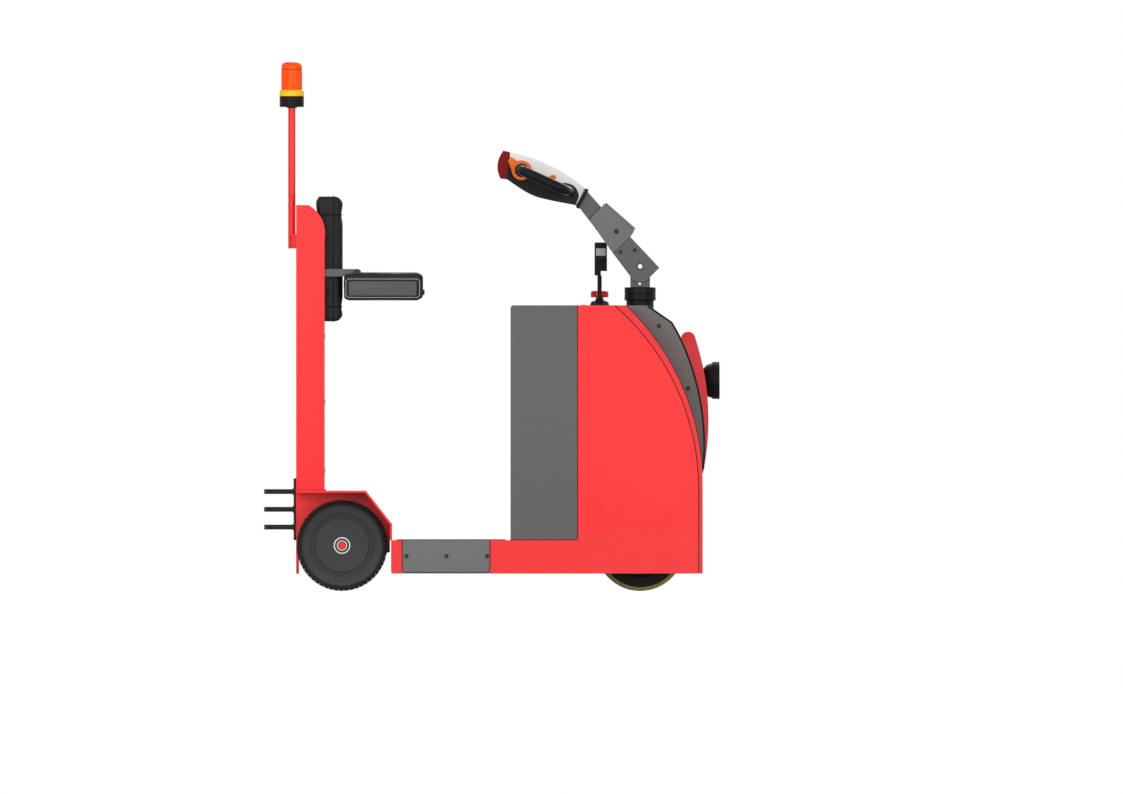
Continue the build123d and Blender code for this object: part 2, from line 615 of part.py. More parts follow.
# Hitch plate and the three tongues welded to it
with BuildPart() as hitch:
    with BuildSketch(Plane.YZ.offset(FRAME_REAR_X - HITCH_PLATE_T)):
        with Locations((0, sum(HITCH_PLATE_Z) / 2)):
            RectangleRounded(2 * HITCH_PLATE_HALF, HITCH_PLATE_Z[1] - HITCH_PLATE_Z[0], STEP_CORNER_R)
    extrude(amount=HITCH_PLATE_T)
    for level in TONGUE_Z:
        with BuildSketch(Plane.XY.offset(level - TONGUE_T / 2)):
            tongue_rear = FRAME_REAR_X - HITCH_PLATE_T
            with Locations((TONGUE_X, 0)):
                Circle(TONGUE_R)
            with Locations(((TONGUE_X + tongue_rear) / 2, 0)):
                Rectangle(tongue_rear - TONGUE_X, 2 * TONGUE_R)
            with Locations((TONGUE_X, 0)):
                Circle(PIN_HOLE_R, mode=Mode.SUBTRACT)
        extrude(amount=TONGUE_T)

# Backrest tower: side and rear walls with a rolled top corner
with BuildPart() as backrest_tower:
    with BuildSketch(Plane.XZ):
        with BuildLine():
            Polyline(
                TOWER_CORNER[2],
                (TOWER_FRONT_X, GUARD_TOP),
                (FRAME_REAR_X, GUARD_TOP),
                (FRAME_REAR_X, TOWER_TOP),
                TOWER_CORNER[0],
            )
            ThreePointArc(*TOWER_CORNER)
        make_face()
    extrude(amount=TOWER_HALF, both=True)
    with BuildSketch(Plane.XZ):
        with BuildLine():
            Polyline(
                (FRAME_REAR_X + TOWER_T, GUARD_TOP - 10),
                (FRAME_REAR_X + TOWER_T, TOWER_TOP - TOWER_T),
                (PAD_REAR_X - TOWER_T, TOWER_TOP - TOWER_T - 18),
                (PAD_REAR_X - TOWER_T, TOWER_TOP + 10),
                (TOWER_FRONT_X + 10, TOWER_TOP + 10),
                (TOWER_FRONT_X + 10, GUARD_TOP - 10),
                close=True,
            )
        make_face()
    extrude(amount=TOWER_HALF - TOWER_T, both=True, mode=Mode.SUBTRACT)

# Stepped panel that closes the tower below the pad and backs the pad above
with BuildPart() as tower_panel:
    with BuildSketch(Plane.XZ):
        with BuildLine():
            Polyline(
                (TOWER_FRONT_X, GUARD_TOP),
                (TOWER_FRONT_X, PANEL_STEP_Z),
                (PAD_REAR_X, PANEL_STEP_Z),
                (PAD_REAR_X, TOWER_TOP - 20),
                (PAD_REAR_X - TOWER_T, TOWER_TOP - 20),
                (PAD_REAR_X - TOWER_T, PANEL_STEP_Z - TOWER_T),
                (TOWER_FRONT_X - TOWER_T, PANEL_STEP_Z - TOWER_T),
                (TOWER_FRONT_X - TOWER_T, GUARD_TOP),
                close=True,
            )
        make_face()
    extrude(amount=TOWER_HALF - TOWER_T, both=True)
    for side in (-1, 1):
        with BuildSketch(upright(side, ARM_IN - PLAY, TOWER_HALF - TOWER_T)):
            with Locations((PAD_REAR_X, SEAT_PIVOT_Z)):
                Rectangle(4 * TOWER_T, ARM_Z[1] - ARM_Z[0] + 2 * PLAY)
        extrude(amount=TOWER_HALF - TOWER_T - ARM_IN + PLAY, mode=Mode.SUBTRACT)

# Back pad
with BuildPart() as backrest_pad:
    with BuildSketch(Plane.XZ):
        with Locations(((PAD_REAR_X + PAD_FRONT_X) / 2, (PAD_LOW + PAD_TOP) / 2)):
            Rectangle(PAD_FRONT_X - PAD_REAR_X, PAD_TOP - PAD_LOW)
    extrude(amount=PAD_HALF, both=True)
    fillet(backrest_pad.edges().filter_by(Axis.X), PAD_CORNER_R)
    fillet(backrest_pad.edges().group_by(Axis.X)[-1], PAD_R)

# Arms that carry the seat, welded inside the tower's walls
with BuildPart() as seat_arms:
    with BuildSketch(upright(-1, ARM_IN, ARM_OUT)):
        with BuildLine():
            Polyline(
                (FRAME_REAR_X + TOWER_T, ARM_Z[0]),
                (ARM_NOSE_X - ARM_CHAMFER, ARM_Z[0]),
                (ARM_NOSE_X, ARM_Z[0] + ARM_CHAMFER),
                (ARM_NOSE_X, ARM_Z[1] - ARM_CHAMFER),
                (ARM_NOSE_X - ARM_CHAMFER, ARM_Z[1]),
                (FRAME_REAR_X + TOWER_T, ARM_Z[1]),
                close=True,
            )
        make_face()
        with Locations((SEAT_PIVOT_X, SEAT_PIVOT_Z)):
            Circle(SEAT_PIN_R + PLAY, mode=Mode.SUBTRACT)
    extrude(amount=ARM_OUT - ARM_IN)
    mirror(about=Plane.XZ)

# Fold-up seat: moulded cushion with a pocket round each arm, steel ears and pins
POCKET_IN = ARM_IN - EAR_GAP - EAR_T
POCKET_OUT = ARM_OUT + EAR_GAP + EAR_T
POCKET_R = sqrt((SEAT_PIVOT_BACK - ARM_CHAMFER) ** 2 + SEAT_PIVOT_BACK ** 2) + CLEAR
POCKET_FLOOR = SEAT_PIVOT_Z - POCKET_R - EAR_T
POCKET_FRONT_X = SEAT_PIVOT_X + EAR_HALF_LENGTH
with BuildPart() as seat_cushion:
    with BuildSketch(Plane.XZ):
        with Locations(((SEAT_REAR_X + SEAT_FRONT_X) / 2, (SEAT_LOW + SEAT_TOP) / 2)):
            RectangleRounded(SEAT_FRONT_X - SEAT_REAR_X, SEAT_TOP - SEAT_LOW, SEAT_EDGE_R)
    extrude(amount=SEAT_HALF, both=True)
    for side in (-1, 1):
        with BuildSketch(upright(side, POCKET_IN, POCKET_OUT)):
            with BuildLine():
                Polyline(
                    (SEAT_REAR_X - 10, POCKET_FLOOR),
                    (POCKET_FRONT_X, POCKET_FLOOR),
                    (POCKET_FRONT_X, SEAT_TOP + 20),
                    (SEAT_REAR_X - 10, SEAT_TOP + 20),
                    close=True,
                )
            make_face()
        extrude(amount=POCKET_OUT - POCKET_IN, mode=Mode.SUBTRACT)

with BuildPart() as seat_hinges:
    for side in (-1, 1):
        with BuildSketch(upright(side, POCKET_IN, POCKET_OUT)):
            with BuildLine():
                Polyline(
                    (SEAT_PIVOT_X - EAR_R, SEAT_PIVOT_Z),
                    (SEAT_PIVOT_X - EAR_HALF_LENGTH, POCKET_FLOOR + EAR_T),
                    (SEAT_PIVOT_X - EAR_HALF_LENGTH, POCKET_FLOOR),
                    (SEAT_PIVOT_X + EAR_HALF_LENGTH, POCKET_FLOOR),
                    (SEAT_PIVOT_X + EAR_HALF_LENGTH, POCKET_FLOOR + EAR_T),
                    (SEAT_PIVOT_X + EAR_R, SEAT_PIVOT_Z),
                )
                ThreePointArc(
                    (SEAT_PIVOT_X + EAR_R, SEAT_PIVOT_Z),
                    (SEAT_PIVOT_X, SEAT_PIVOT_Z + EAR_R),
                    (SEAT_PIVOT_X - EAR_R, SEAT_PIVOT_Z),
                )
            make_face()
        extrude(amount=POCKET_OUT - POCKET_IN)
        with BuildSketch(upright(side, POCKET_IN + EAR_T, POCKET_OUT - EAR_T)):
            with Locations((SEAT_PIVOT_X, POCKET_FLOOR + EAR_T + EAR_HALF_LENGTH)):
                Rectangle(4 * EAR_HALF_LENGTH, 2 * EAR_HALF_LENGTH)
        extrude(amount=POCKET_OUT - POCKET_IN - 2 * EAR_T, mode=Mode.SUBTRACT)
        with BuildSketch(upright(side, POCKET_IN, POCKET_OUT)):
            with Locations((SEAT_PIVOT_X, SEAT_PIVOT_Z)):
                Circle(SEAT_PIN_R)
        extrude(amount=POCKET_OUT - POCKET_IN)

# Beacon: clamp ears on the tower, pole, notched base, ring and lens
with BuildPart() as beacon_pole:
    with BuildSketch(Plane.XY.offset(POLE_Z[0])):
        with Locations((POLE_X, 0)):
            Circle(POLE_R)
            Circle(POLE_R - POLE_T, mode=Mode.SUBTRACT)
    extrude(amount=POLE_Z[1] - POLE_Z[0])
    for side in (-1, 1):
        with BuildSketch(upright(side, POLE_R - 1, POLE_R - 1 + POLE_CLAMP_T)):
            with Locations(((POLE_X - 2 + FRAME_REAR_X) / 2, (POLE_Z[0] + POLE_CLAMP_TOP) / 2)):
                Rectangle(FRAME_REAR_X - POLE_X + 2, POLE_CLAMP_TOP - POLE_Z[0])
        extrude(amount=POLE_CLAMP_T)

BEACON_RING_Z = (POLE_Z[1] + BEACON_BASE_H, POLE_Z[1] + BEACON_BASE_H + BEACON_RING_H)
with BuildPart() as beacon_base:
    with BuildSketch(Plane.XY.offset(POLE_Z[1])):
        with Locations((POLE_X, 0)):
            Circle(BEACON_R)
    extrude(amount=BEACON_BASE_H)
    with BuildSketch(Plane.XY.offset(POLE_Z[1])):
        with Locations((POLE_X, 0)):
            with PolarLocations(BEACON_R, BEACON_NOTCHES):
                Rectangle(BEACON_NOTCH_WIDTH, BEACON_NOTCH_WIDTH)
    extrude(amount=BEACON_NOTCH_H, mode=Mode.SUBTRACT)

with BuildPart() as beacon_ring:
    with BuildSketch(Plane.XY.offset(BEACON_RING_Z[0])):
        with Locations((POLE_X, 0)):
            Circle(BEACON_R)
    extrude(amount=BEACON_RING_H)
    chamfer(beacon_ring.edges().group_by(Axis.Z)[-1], (BEACON_R - LENS_R) / 2)

with BuildPart() as beacon_lens:
    with BuildSketch(Plane.XY.offset(BEACON_RING_Z[1])):
        with Locations((POLE_X, 0)):
            Circle(LENS_R)
    extrude(amount=LENS_TOP - BEACON_RING_Z[1])
    fillet(beacon_lens.edges().group_by(Axis.Z)[-1], LENS_TOP_R)
    with BuildSketch(Plane.XY.offset(LENS_SEAM_Z)):
        with Locations((POLE_X, 0)):
            Circle(LENS_R + LENS_GROOVE)
            Circle(LENS_R - LENS_GROOVE, mode=Mode.SUBTRACT)
    extrude(amount=LENS_GROOVE, mode=Mode.SUBTRACT)

# Stop switch and hand lever on the hood
with BuildPart() as hood_controls:
    with BuildSketch(Plane.XY.offset(HOOD_TOP)):
        with Locations((CONTROL_X, STOP_Y)):
            Circle(STOP_BASE_R)
        with Locations((CONTROL_X, LEVER_Y)):
            Circle(LEVER_BOOT_R)
    extrude(amount=STOP_BASE_TOP - HOOD_TOP, taper=20)
    with BuildSketch(Plane.XY.offset(STOP_BASE_TOP)):
        with Locations((CONTROL_X, STOP_Y)):
            Circle(STOP_STEM_R)
    extrude(amount=STOP_CAP_Z[0] - STOP_BASE_TOP)
    with BuildSketch(Plane.XY.offset(STOP_BASE_TOP)):
        with Locations((CONTROL_X, LEVER_Y)):
            Circle(LEVER_STEM_R)
    extrude(amount=LEVER_STEM_TOP - STOP_BASE_TOP)

with BuildPart() as stop_switch_button:
    with BuildSketch(Plane.XY.offset(STOP_CAP_Z[0])):
        with Locations((CONTROL_X, STOP_Y)):
            Circle(STOP_CAP_R)
    extrude(amount=STOP_CAP_Z[1] - STOP_CAP_Z[0])
    fillet(stop_switch_button.edges().group_by(Axis.Z)[-1], STOP_CAP_EDGE_R)
    fillet(stop_switch_button.edges().group_by(Axis.Z)[0], STOP_CAP_EDGE_R / 2)

with BuildPart() as lever_grip:
    with BuildSketch(Plane.XZ.offset(-LEVER_Y)):
        with BuildLine():
            Polyline(
                (CONTROL_X - 13.9, LEVER_STEM_TOP),
                (CONTROL_X + 3.5, LEVER_STEM_TOP),
                (CONTROL_X + 3.5, LEVER_STEM_TOP + 12),
                (CONTROL_X + 20.5, LEVER_STEM_TOP + 12),
                (CONTROL_X + 20.5, LEVER_STEM_TOP + 91),
                (CONTROL_X - 13.9, LEVER_STEM_TOP + 91),
                close=True,
            )
        make_face()
    extrude(amount=LEVER_GRIP_HALF, both=True)
    fillet(lever_grip.edges().filter_by(Axis.Z), 5)
    fillet(lever_grip.edges().group_by(Axis.Z)[-1], 4)

# Drive unit: gearbox with a bolted rim beside the wheel, turntable, ribbed motor above
with BuildPart() as drive_unit:
    gearbox_near, gearbox_far = -GEARBOX_Y[1], -GEARBOX_Y[0]
    with BuildSketch(upright(-1, gearbox_near, gearbox_far)):
        with Locations((STEER_X, DRIVE_R)):
            Circle(GEARBOX_R - GEARBOX_RIM_T)
        with Locations((STEER_X, (DRIVE_R + TURNTABLE_Z[0]) / 2)):
            Rectangle(1.5 * GEARBOX_R, TURNTABLE_Z[0] - DRIVE_R)
    extrude(amount=gearbox_far - gearbox_near)
    rim_near = (gearbox_near + gearbox_far) / 2
    with BuildSketch(upright(-1, rim_near, rim_near + GEARBOX_RIM_T)):
        with Locations((STEER_X, DRIVE_R)):
            Circle(GEARBOX_R)
    extrude(amount=GEARBOX_RIM_T)
    with BuildSketch(upright(-1, rim_near, rim_near + 2 * GEARBOX_RIM_T)):
        with Locations((STEER_X, DRIVE_R)):
            with PolarLocations(GEARBOX_R - GEARBOX_RIM_T / 2, GEARBOX_BOLTS):
                Circle(GEARBOX_RIM_T / 3)
    extrude(amount=1.5 * GEARBOX_RIM_T)
    with BuildSketch(Plane.XY.offset(TURNTABLE_Z[0])):
        with Locations((STEER_X, 0)):
            Circle(TURNTABLE_R)
    extrude(amount=TURNTABLE_Z[1] - TURNTABLE_Z[0])
    with BuildSketch(Plane.XY.offset(TURNTABLE_Z[1])):
        with Locations((STEER_X, 0)):
            Circle(MOUNT_HOLE_R - PLAY)
    extrude(amount=MOUNT_PLATE_Z[1] + 2 - TURNTABLE_Z[1])
    with BuildSketch(Plane.XY.offset(MOUNT_PLATE_Z[1] + 2)):
        with Locations((STEER_X, 0)):
            Circle(MOTOR_R - CLEAR)
            with PolarLocations(MOTOR_R - CLEAR, MOTOR_RIBS):
                Rectangle(2 * CLEAR, CLEAR)
    extrude(amount=MOTOR_TOP - MOUNT_PLATE_Z[1] - 2 - MOTOR_CAP_H)
    with BuildSketch(Plane.XY.offset(MOTOR_TOP - MOTOR_CAP_H)):
        with Locations((STEER_X, 0)):
            Circle(MOTOR_R)
    extrude(amount=MOTOR_CAP_H)
    fillet(drive_unit.edges().group_by(Axis.Z)[-1], CLEAR)

# Drive wheel: hub with a recessed face, and its tyre
DRIVE_HALF = DRIVE_WIDTH / 2
HUB_FACE = DRIVE_HALF - 2
RECESS_EDGE_R = DRIVE_RECESS_R + 4
DRIVE_CHAMFER = 3
with BuildPart() as drive_hub:
    with BuildSketch(Plane.YZ.offset(STEER_X)):
        with BuildLine():
            Polyline(
                (-HUB_FACE, DRIVE_R),
                (-HUB_FACE, DRIVE_R + DRIVE_RECESS_R - 20),
                (-HUB_FACE + 6, DRIVE_R + DRIVE_RECESS_R - 16),
                (-HUB_FACE + 6, DRIVE_R + DRIVE_RECESS_R),
                (-HUB_FACE, DRIVE_R + RECESS_EDGE_R),
                (-HUB_FACE, DRIVE_R + DRIVE_HUB_R),
                (HUB_FACE, DRIVE_R + DRIVE_HUB_R),
                (HUB_FACE, DRIVE_R + RECESS_EDGE_R),
                (HUB_FACE - 12, DRIVE_R + DRIVE_RECESS_R),
                (HUB_FACE - 12, DRIVE_R + DRIVE_BOSS_R),
                (HUB_FACE - 4, DRIVE_R + DRIVE_BOSS_R - 4),
                (HUB_FACE - 4, DRIVE_R),
                close=True,
            )
        make_face()
    revolve(axis=axle(STEER_X, DRIVE_R))

with BuildPart() as drive_tyre:
    with BuildSketch(Plane.YZ.offset(STEER_X)):
        with BuildLine():
            Polyline(
                (-DRIVE_HALF, DRIVE_R + DRIVE_HUB_R),
                (-DRIVE_HALF, 2 * DRIVE_R - DRIVE_CHAMFER),
                (-DRIVE_HALF + DRIVE_CHAMFER, 2 * DRIVE_R),
                (DRIVE_HALF - DRIVE_CHAMFER, 2 * DRIVE_R),
                (DRIVE_HALF, 2 * DRIVE_R - DRIVE_CHAMFER),
                (DRIVE_HALF, DRIVE_R + DRIVE_HUB_R),
                close=True,
            )
        make_face()
    revolve(axis=axle(STEER_X, DRIVE_R))

# Steering column, its collar, and the fork that holds the tiller's pivot
with BuildPart() as steering_column:
    with BuildSketch(Plane.XY.offset(MOTOR_TOP)):
        with Locations((STEER_X, 0)):
            Circle(COLUMN_R)
            Circle(COLUMN_R - COLUMN_T, mode=Mode.SUBTRACT)
    extrude(amount=COLLAR_Z[0] - MOTOR_TOP)
    with BuildSketch(Plane.XY.offset(COLLAR_Z[0])):
        with Locations((STEER_X, 0)):
            Circle(COLLAR_R)
    extrude(amount=COLLAR_Z[1] - COLLAR_Z[0])
    rims = steering_column.edges().filter_by(GeomType.CIRCLE)
    fillet(rims.filter_by(lambda rim: rim.radius > COLUMN_R), COLLAR_EDGE_R)
    with BuildSketch(Plane.XY.offset((COLLAR_Z[0] + COLLAR_Z[1] - COLLAR_GROOVE) / 2)):
        with Locations((STEER_X, 0)):
            Circle(COLLAR_R + COLLAR_GROOVE)
            Circle(COLLAR_R - COLLAR_GROOVE, mode=Mode.SUBTRACT)
    extrude(amount=COLLAR_GROOVE, mode=Mode.SUBTRACT)

with BuildPart() as tiller_bracket:
    with BuildSketch(Plane.XZ):
        with Locations((STEER_X, (COLLAR_Z[1] + PIVOT_Z) / 2)):
            Rectangle(2 * BRACKET_HALF_X, PIVOT_Z - COLLAR_Z[1])
        with Locations((PIVOT_X, PIVOT_Z)):
            Circle(BRACKET_HALF_X)
            Circle(PIVOT_TUBE_R + PLAY, mode=Mode.SUBTRACT)
        with Locations((BRACKET_HOLE[0], BRACKET_HOLE[1])):
            Circle(BRACKET_HOLE[2], mode=Mode.SUBTRACT)
    extrude(amount=BRACKET_HALF_Y, both=True)
    with BuildSketch(Plane.XZ):
        with Locations((STEER_X, BRACKET_BASE_TOP + BRACKET_HALF_X * 2)):
            Rectangle(4 * BRACKET_HALF_X, 4 * BRACKET_HALF_X)
    extrude(amount=BRACKET_HALF_Y - BRACKET_EAR_T, both=True, mode=Mode.SUBTRACT)

# Tiller: pivot tube, two side plates, the arm between them and its lidded cover
PLATE_CHEEK = from_pivot((26, -30.4), (0, -43.4), (-23, -32.4))
with BuildPart() as tiller_side_plates:
    with BuildSketch(upright(-1, TILLER_IN, TILLER_OUT)):
        with BuildLine():
            Polyline(*from_pivot((26, -30.4), (53, -3.4), (-27, 81.6), (-75, 36.6), (-23, -32.4)))
            ThreePointArc(*PLATE_CHEEK)
        make_face()
    extrude(amount=TILLER_OUT - TILLER_IN)
    mirror(about=Plane.XZ)
    with BuildSketch(Plane.XZ):
        with Locations((PIVOT_X, PIVOT_Z)):
            Circle(PIVOT_TUBE_R)
    extrude(amount=TILLER_OUT + 2, both=True)
    with BuildSketch(Plane.XZ):
        with Locations((PIVOT_X, PIVOT_Z)):
            Circle(PIVOT_BORE_R)
    extrude(amount=TILLER_OUT + 2, both=True, mode=Mode.SUBTRACT)

ARM_OUTLINE = from_pivot((-165, 158.6), (-144, 205.1), (-10, 53.6), (-55, 16.6))
ARM_EDGE_R = 4.0
with BuildPart() as tiller_arm:
    with BuildSketch(Plane.XZ):
        with BuildLine():
            Polyline(*ARM_OUTLINE, close=True)
        make_face()
    extrude(amount=TILLER_IN, both=True)
    with BuildSketch(Plane.XZ):
        with BuildLine():
            Polyline(
                *from_pivot((-174, 160.6), (-165, 158.6), (-144, 205.1)),
                *from_pivot((-145, 212.6), (-152, 214.6), (-178, 168.6)),
                close=True,
            )
        make_face()
    extrude(amount=TILLER_IN + ARM_EDGE_R, both=True)

COVER_TOP = from_pivot((-92, 174.6), (-16, 100.6))
with BuildPart() as tiller_cover:
    with BuildSketch(Plane.XZ):
        with BuildLine():
            Polyline(
                *from_pivot((-140, 127.6), (-98, 172.6)),
                *COVER_TOP,
                *from_pivot((-19, 92.6), (-27, 81.6), (-75, 36.6)),
                close=True,
            )
        make_face()
    extrude(amount=TILLER_COVER_HALF, both=True)
    with BuildSketch(Plane.XZ):
        with BuildLine():
            lid_end, lid_start = from_pivot((-12.8, 105.2), (-94, 169))
            Polyline(COVER_TOP[0], lid_end, COVER_TOP[1], lid_start, close=True)
        make_face()
    extrude(amount=TILLER_COVER_HALF + TILLER_LIP, both=True)
    with BuildSketch(Plane.XZ):
        with BuildLine():
            Polyline(*ARM_OUTLINE, close=True)
        make_face()
    extrude(amount=TILLER_IN, both=True, mode=Mode.SUBTRACT)

# Operating head: two moulded shells that meet on an S-shaped seam. Each takes its side
# outline, is cut to the plan outline that narrows to the neck, and is rounded outside.
SEAM = from_pivot(
    (-358, 295.6), (-320, 270.6), (-295, 253.3), (-266, 229), (-249, 228), (-191, 226.3), (-168, 190.6)
)
NECK_TOP_X = PIVOT_X - 152
HEAD_BELLY = from_pivot(
    (-178, 168.6), (-220, 176.6), (-258.5, 184.6), (-293, 194.6), (-320, 208.6), (-366, 239.6)
)
HEAD_CROWN = from_pivot((-152, 214.6), (-200.5, 250.6), (-282, 292.1), (-358, 314.6))


def head_plan():
    """Plan outline of the head's shells, wide at the grips and narrow at the neck."""
    with BuildPart() as plan:
        with BuildSketch(Plane.XY.offset(PIVOT_Z)):
            with BuildLine():
                Spline(
                    (NECK_TOP_X, HEAD_NECK_HALF),
                    (SEAM[4][0] + 20, HEAD_HALF - 2),
                    (SEAM[3][0], HEAD_HALF),
                    tangents=((-1, 0), (-1, 0)),
                )
                Polyline(
                    (SEAM[3][0], HEAD_HALF),
                    (HEAD_BELLY[-1][0] - 20, HEAD_HALF),
                    (HEAD_BELLY[-1][0] - 20, -HEAD_HALF),
                    (SEAM[3][0], -HEAD_HALF),
                )
                Spline(
                    (SEAM[3][0], -HEAD_HALF),
                    (SEAM[4][0] + 20, -HEAD_HALF + 2),
                    (NECK_TOP_X, -HEAD_NECK_HALF),
                    tangents=((1, 0), (1, 0)),
                )
                Line((NECK_TOP_X, -HEAD_NECK_HALF), (NECK_TOP_X, HEAD_NECK_HALF))
            make_face()
        extrude(amount=HOOD_TOP)
    return plan


HEAD_PLAN = head_plan()
with BuildPart() as head_lower_shell:
    with BuildSketch(Plane.XZ):
        with BuildLine():
            Spline(*SEAM)
            Line(SEAM[-1], HEAD_BELLY[0])
            Spline(*HEAD_BELLY)
            Line(HEAD_BELLY[-1], SEAM[0])
        make_face()
    extrude(amount=HEAD_HALF, both=True)
    add(HEAD_PLAN.part, mode=Mode.INTERSECT)

with BuildPart() as head_upper_shell:
    with BuildSketch(Plane.XZ):
        with BuildLine():
            Spline(*SEAM)
            Line(SEAM[-1], HEAD_CROWN[0])
            Spline(*HEAD_CROWN)
            Line(HEAD_CROWN[-1], SEAM[0])
        make_face()
    extrude(amount=HEAD_HALF, both=True)
    add(HEAD_PLAN.part, mode=Mode.INTERSECT)

with BuildPart() as end_button:
    with BuildSketch(Plane.XZ):
        with BuildLine():
            Line(HEAD_BELLY[-1], SEAM[0])
            Line(SEAM[0], HEAD_CROWN[-1])
            Line(HEAD_CROWN[-1], from_pivot((-376, 318.6))[0])
            Spline(*from_pivot((-376, 318.6), (-392.5, 274.6), (-384, 241.6)))
            Line(from_pivot((-384, 241.6))[0], HEAD_BELLY[-1])
        make_face()
    extrude(amount=HEAD_HALF - 6, both=True)
    fillet(end_button.edges().filter_by(Axis.Y).group_by(Axis.X)[0], 5)

# Thumb switch on each side of the head, with a rocker behind it
SWITCH = from_pivot((-326, 264.6))[0]
SWITCH_R = 27.0
SWITCH_T = 8.0
ROCKER = from_pivot((-249, 240.6))[0]
with BuildPart() as thumb_switches:
    for side in (-1, 1):
        with BuildSketch(upright(side, HEAD_HALF, HEAD_HALF + SWITCH_T)):
            with BuildLine():
                Polyline(
                    (SWITCH[0] + SWITCH_R * cos(2.0), SWITCH[1] + SWITCH_R * sin(2.0)),
                    (SWITCH[0] - 28, SWITCH[1] + 36),
                    (SWITCH[0] - 38, SWITCH[1] + 28),
                    (SWITCH[0] + SWITCH_R * cos(3.2), SWITCH[1] + SWITCH_R * sin(3.2)),
                    (SWITCH[0], SWITCH[1]),
                    close=True,
                )
            make_face()
            with Locations(SWITCH):
                Circle(SWITCH_R)
                Circle(GRIP_R + PLAY, mode=Mode.SUBTRACT)
        extrude(amount=SWITCH_T)
        with BuildSketch(upright(side, HEAD_HALF - 6, HEAD_HALF + 3)):
            with Locations(ROCKER):
                SlotOverall(36, 13, rotation=22)
        extrude(amount=9)
    with BuildSketch(Plane.XZ):
        with Locations(ROCKER):
            Rectangle(60, 60)
    extrude(amount=HEAD_HALF, both=True, mode=Mode.SUBTRACT)

with BuildPart() as head_grips:
    for side in (-1, 1):
        with BuildLine() as route:
            FilletPolyline(
                (PIVOT_X - 193, side * (HEAD_HALF - 8), PIVOT_Z + 205.6),
                (PIVOT_X - 208, side * GRIP_HALF_SPAN, PIVOT_Z + 210.6),
                (SWITCH[0], side * GRIP_HALF_SPAN, SWITCH[1]),
                (SWITCH[0], side * (HEAD_HALF - 8), SWITCH[1]),
                radius=GRIP_BEND_R,
            )
        with BuildSketch(Plane(origin=route.line @ 0, z_dir=route.line % 0)):
            Circle(GRIP_R)
        sweep(path=route.line)
    add(head_lower_shell.part, mode=Mode.SUBTRACT)
    add(head_upper_shell.part, mode=Mode.SUBTRACT)


pieces = {
    "side_plate_left": side_plate_left,
    "side_plate_right": side_plate_right,
    "step_plates": step_plates,
    "deck_frame": deck_frame,
    "deck_mat": deck_mat,
    "drive_bay": drive_bay,
    "front_shell": front_shell,
    "hood_panel": hood_panel,
    "battery_cover": battery_cover,
    "battery": battery,
    "column_cover": column_cover,
    "lamp_fairing": lamp_fairing,
    "headlamp_housing": headlamp_housing,
    "headlamp_lens": headlamp_lens,
    "rear_frame": rear_frame,
    "mudguard": mudguard,
    "rear_axle": rear_axle,
    "rear_tyre_left": rear_tyre_left,
    "rear_tyre_right": rear_tyre_right,
    "rear_disc_left": rear_disc_left,
    "rear_disc_right": rear_disc_right,
    "hitch": hitch,
    "backrest_tower": backrest_tower,
    "tower_panel": tower_panel,
    "backrest_pad": backrest_pad,
    "seat_arms": seat_arms,
    "seat_cushion": seat_cushion,
    "seat_hinges": seat_hinges,
    "beacon_pole": beacon_pole,
    "beacon_base": beacon_base,
    "beacon_ring": beacon_ring,
    "beacon_lens": beacon_lens,
    "hood_controls": hood_controls,
    "stop_switch_button": stop_switch_button,
    "lever_grip": lever_grip,
    "drive_unit": drive_unit,
    "drive_hub": drive_hub,
    "drive_tyre": drive_tyre,
    "steering_column": steering_column,
    "tiller_bracket": tiller_bracket,
    "tiller_side_plates": tiller_side_plates,
    "tiller_arm": tiller_arm,
    "tiller_cover": tiller_cover,
    "head_lower_shell": head_lower_shell,
    "head_upper_shell": head_upper_shell,
    "end_button": end_button,
    "thumb_switches": thumb_switches,
    "head_grips": head_grips,
}
for name, piece in pieces.items():
    piece.part.label = name
    export_step(piece.part, f"parts/{name}.step")
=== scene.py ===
"""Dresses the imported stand-on baggage tug: finishes, soft pads, screws and small trim.

Everything is in metres in the model's own frame: +X towards the headlamp, +Y to the
machine's left and +Z up, with the origin on the floor.
"""

import json
import logging
import math
from dataclasses import dataclass
from enum import Enum
from typing import Callable, Iterable, Optional, Sequence

import bmesh
import bpy
from mathutils import Matrix, Vector

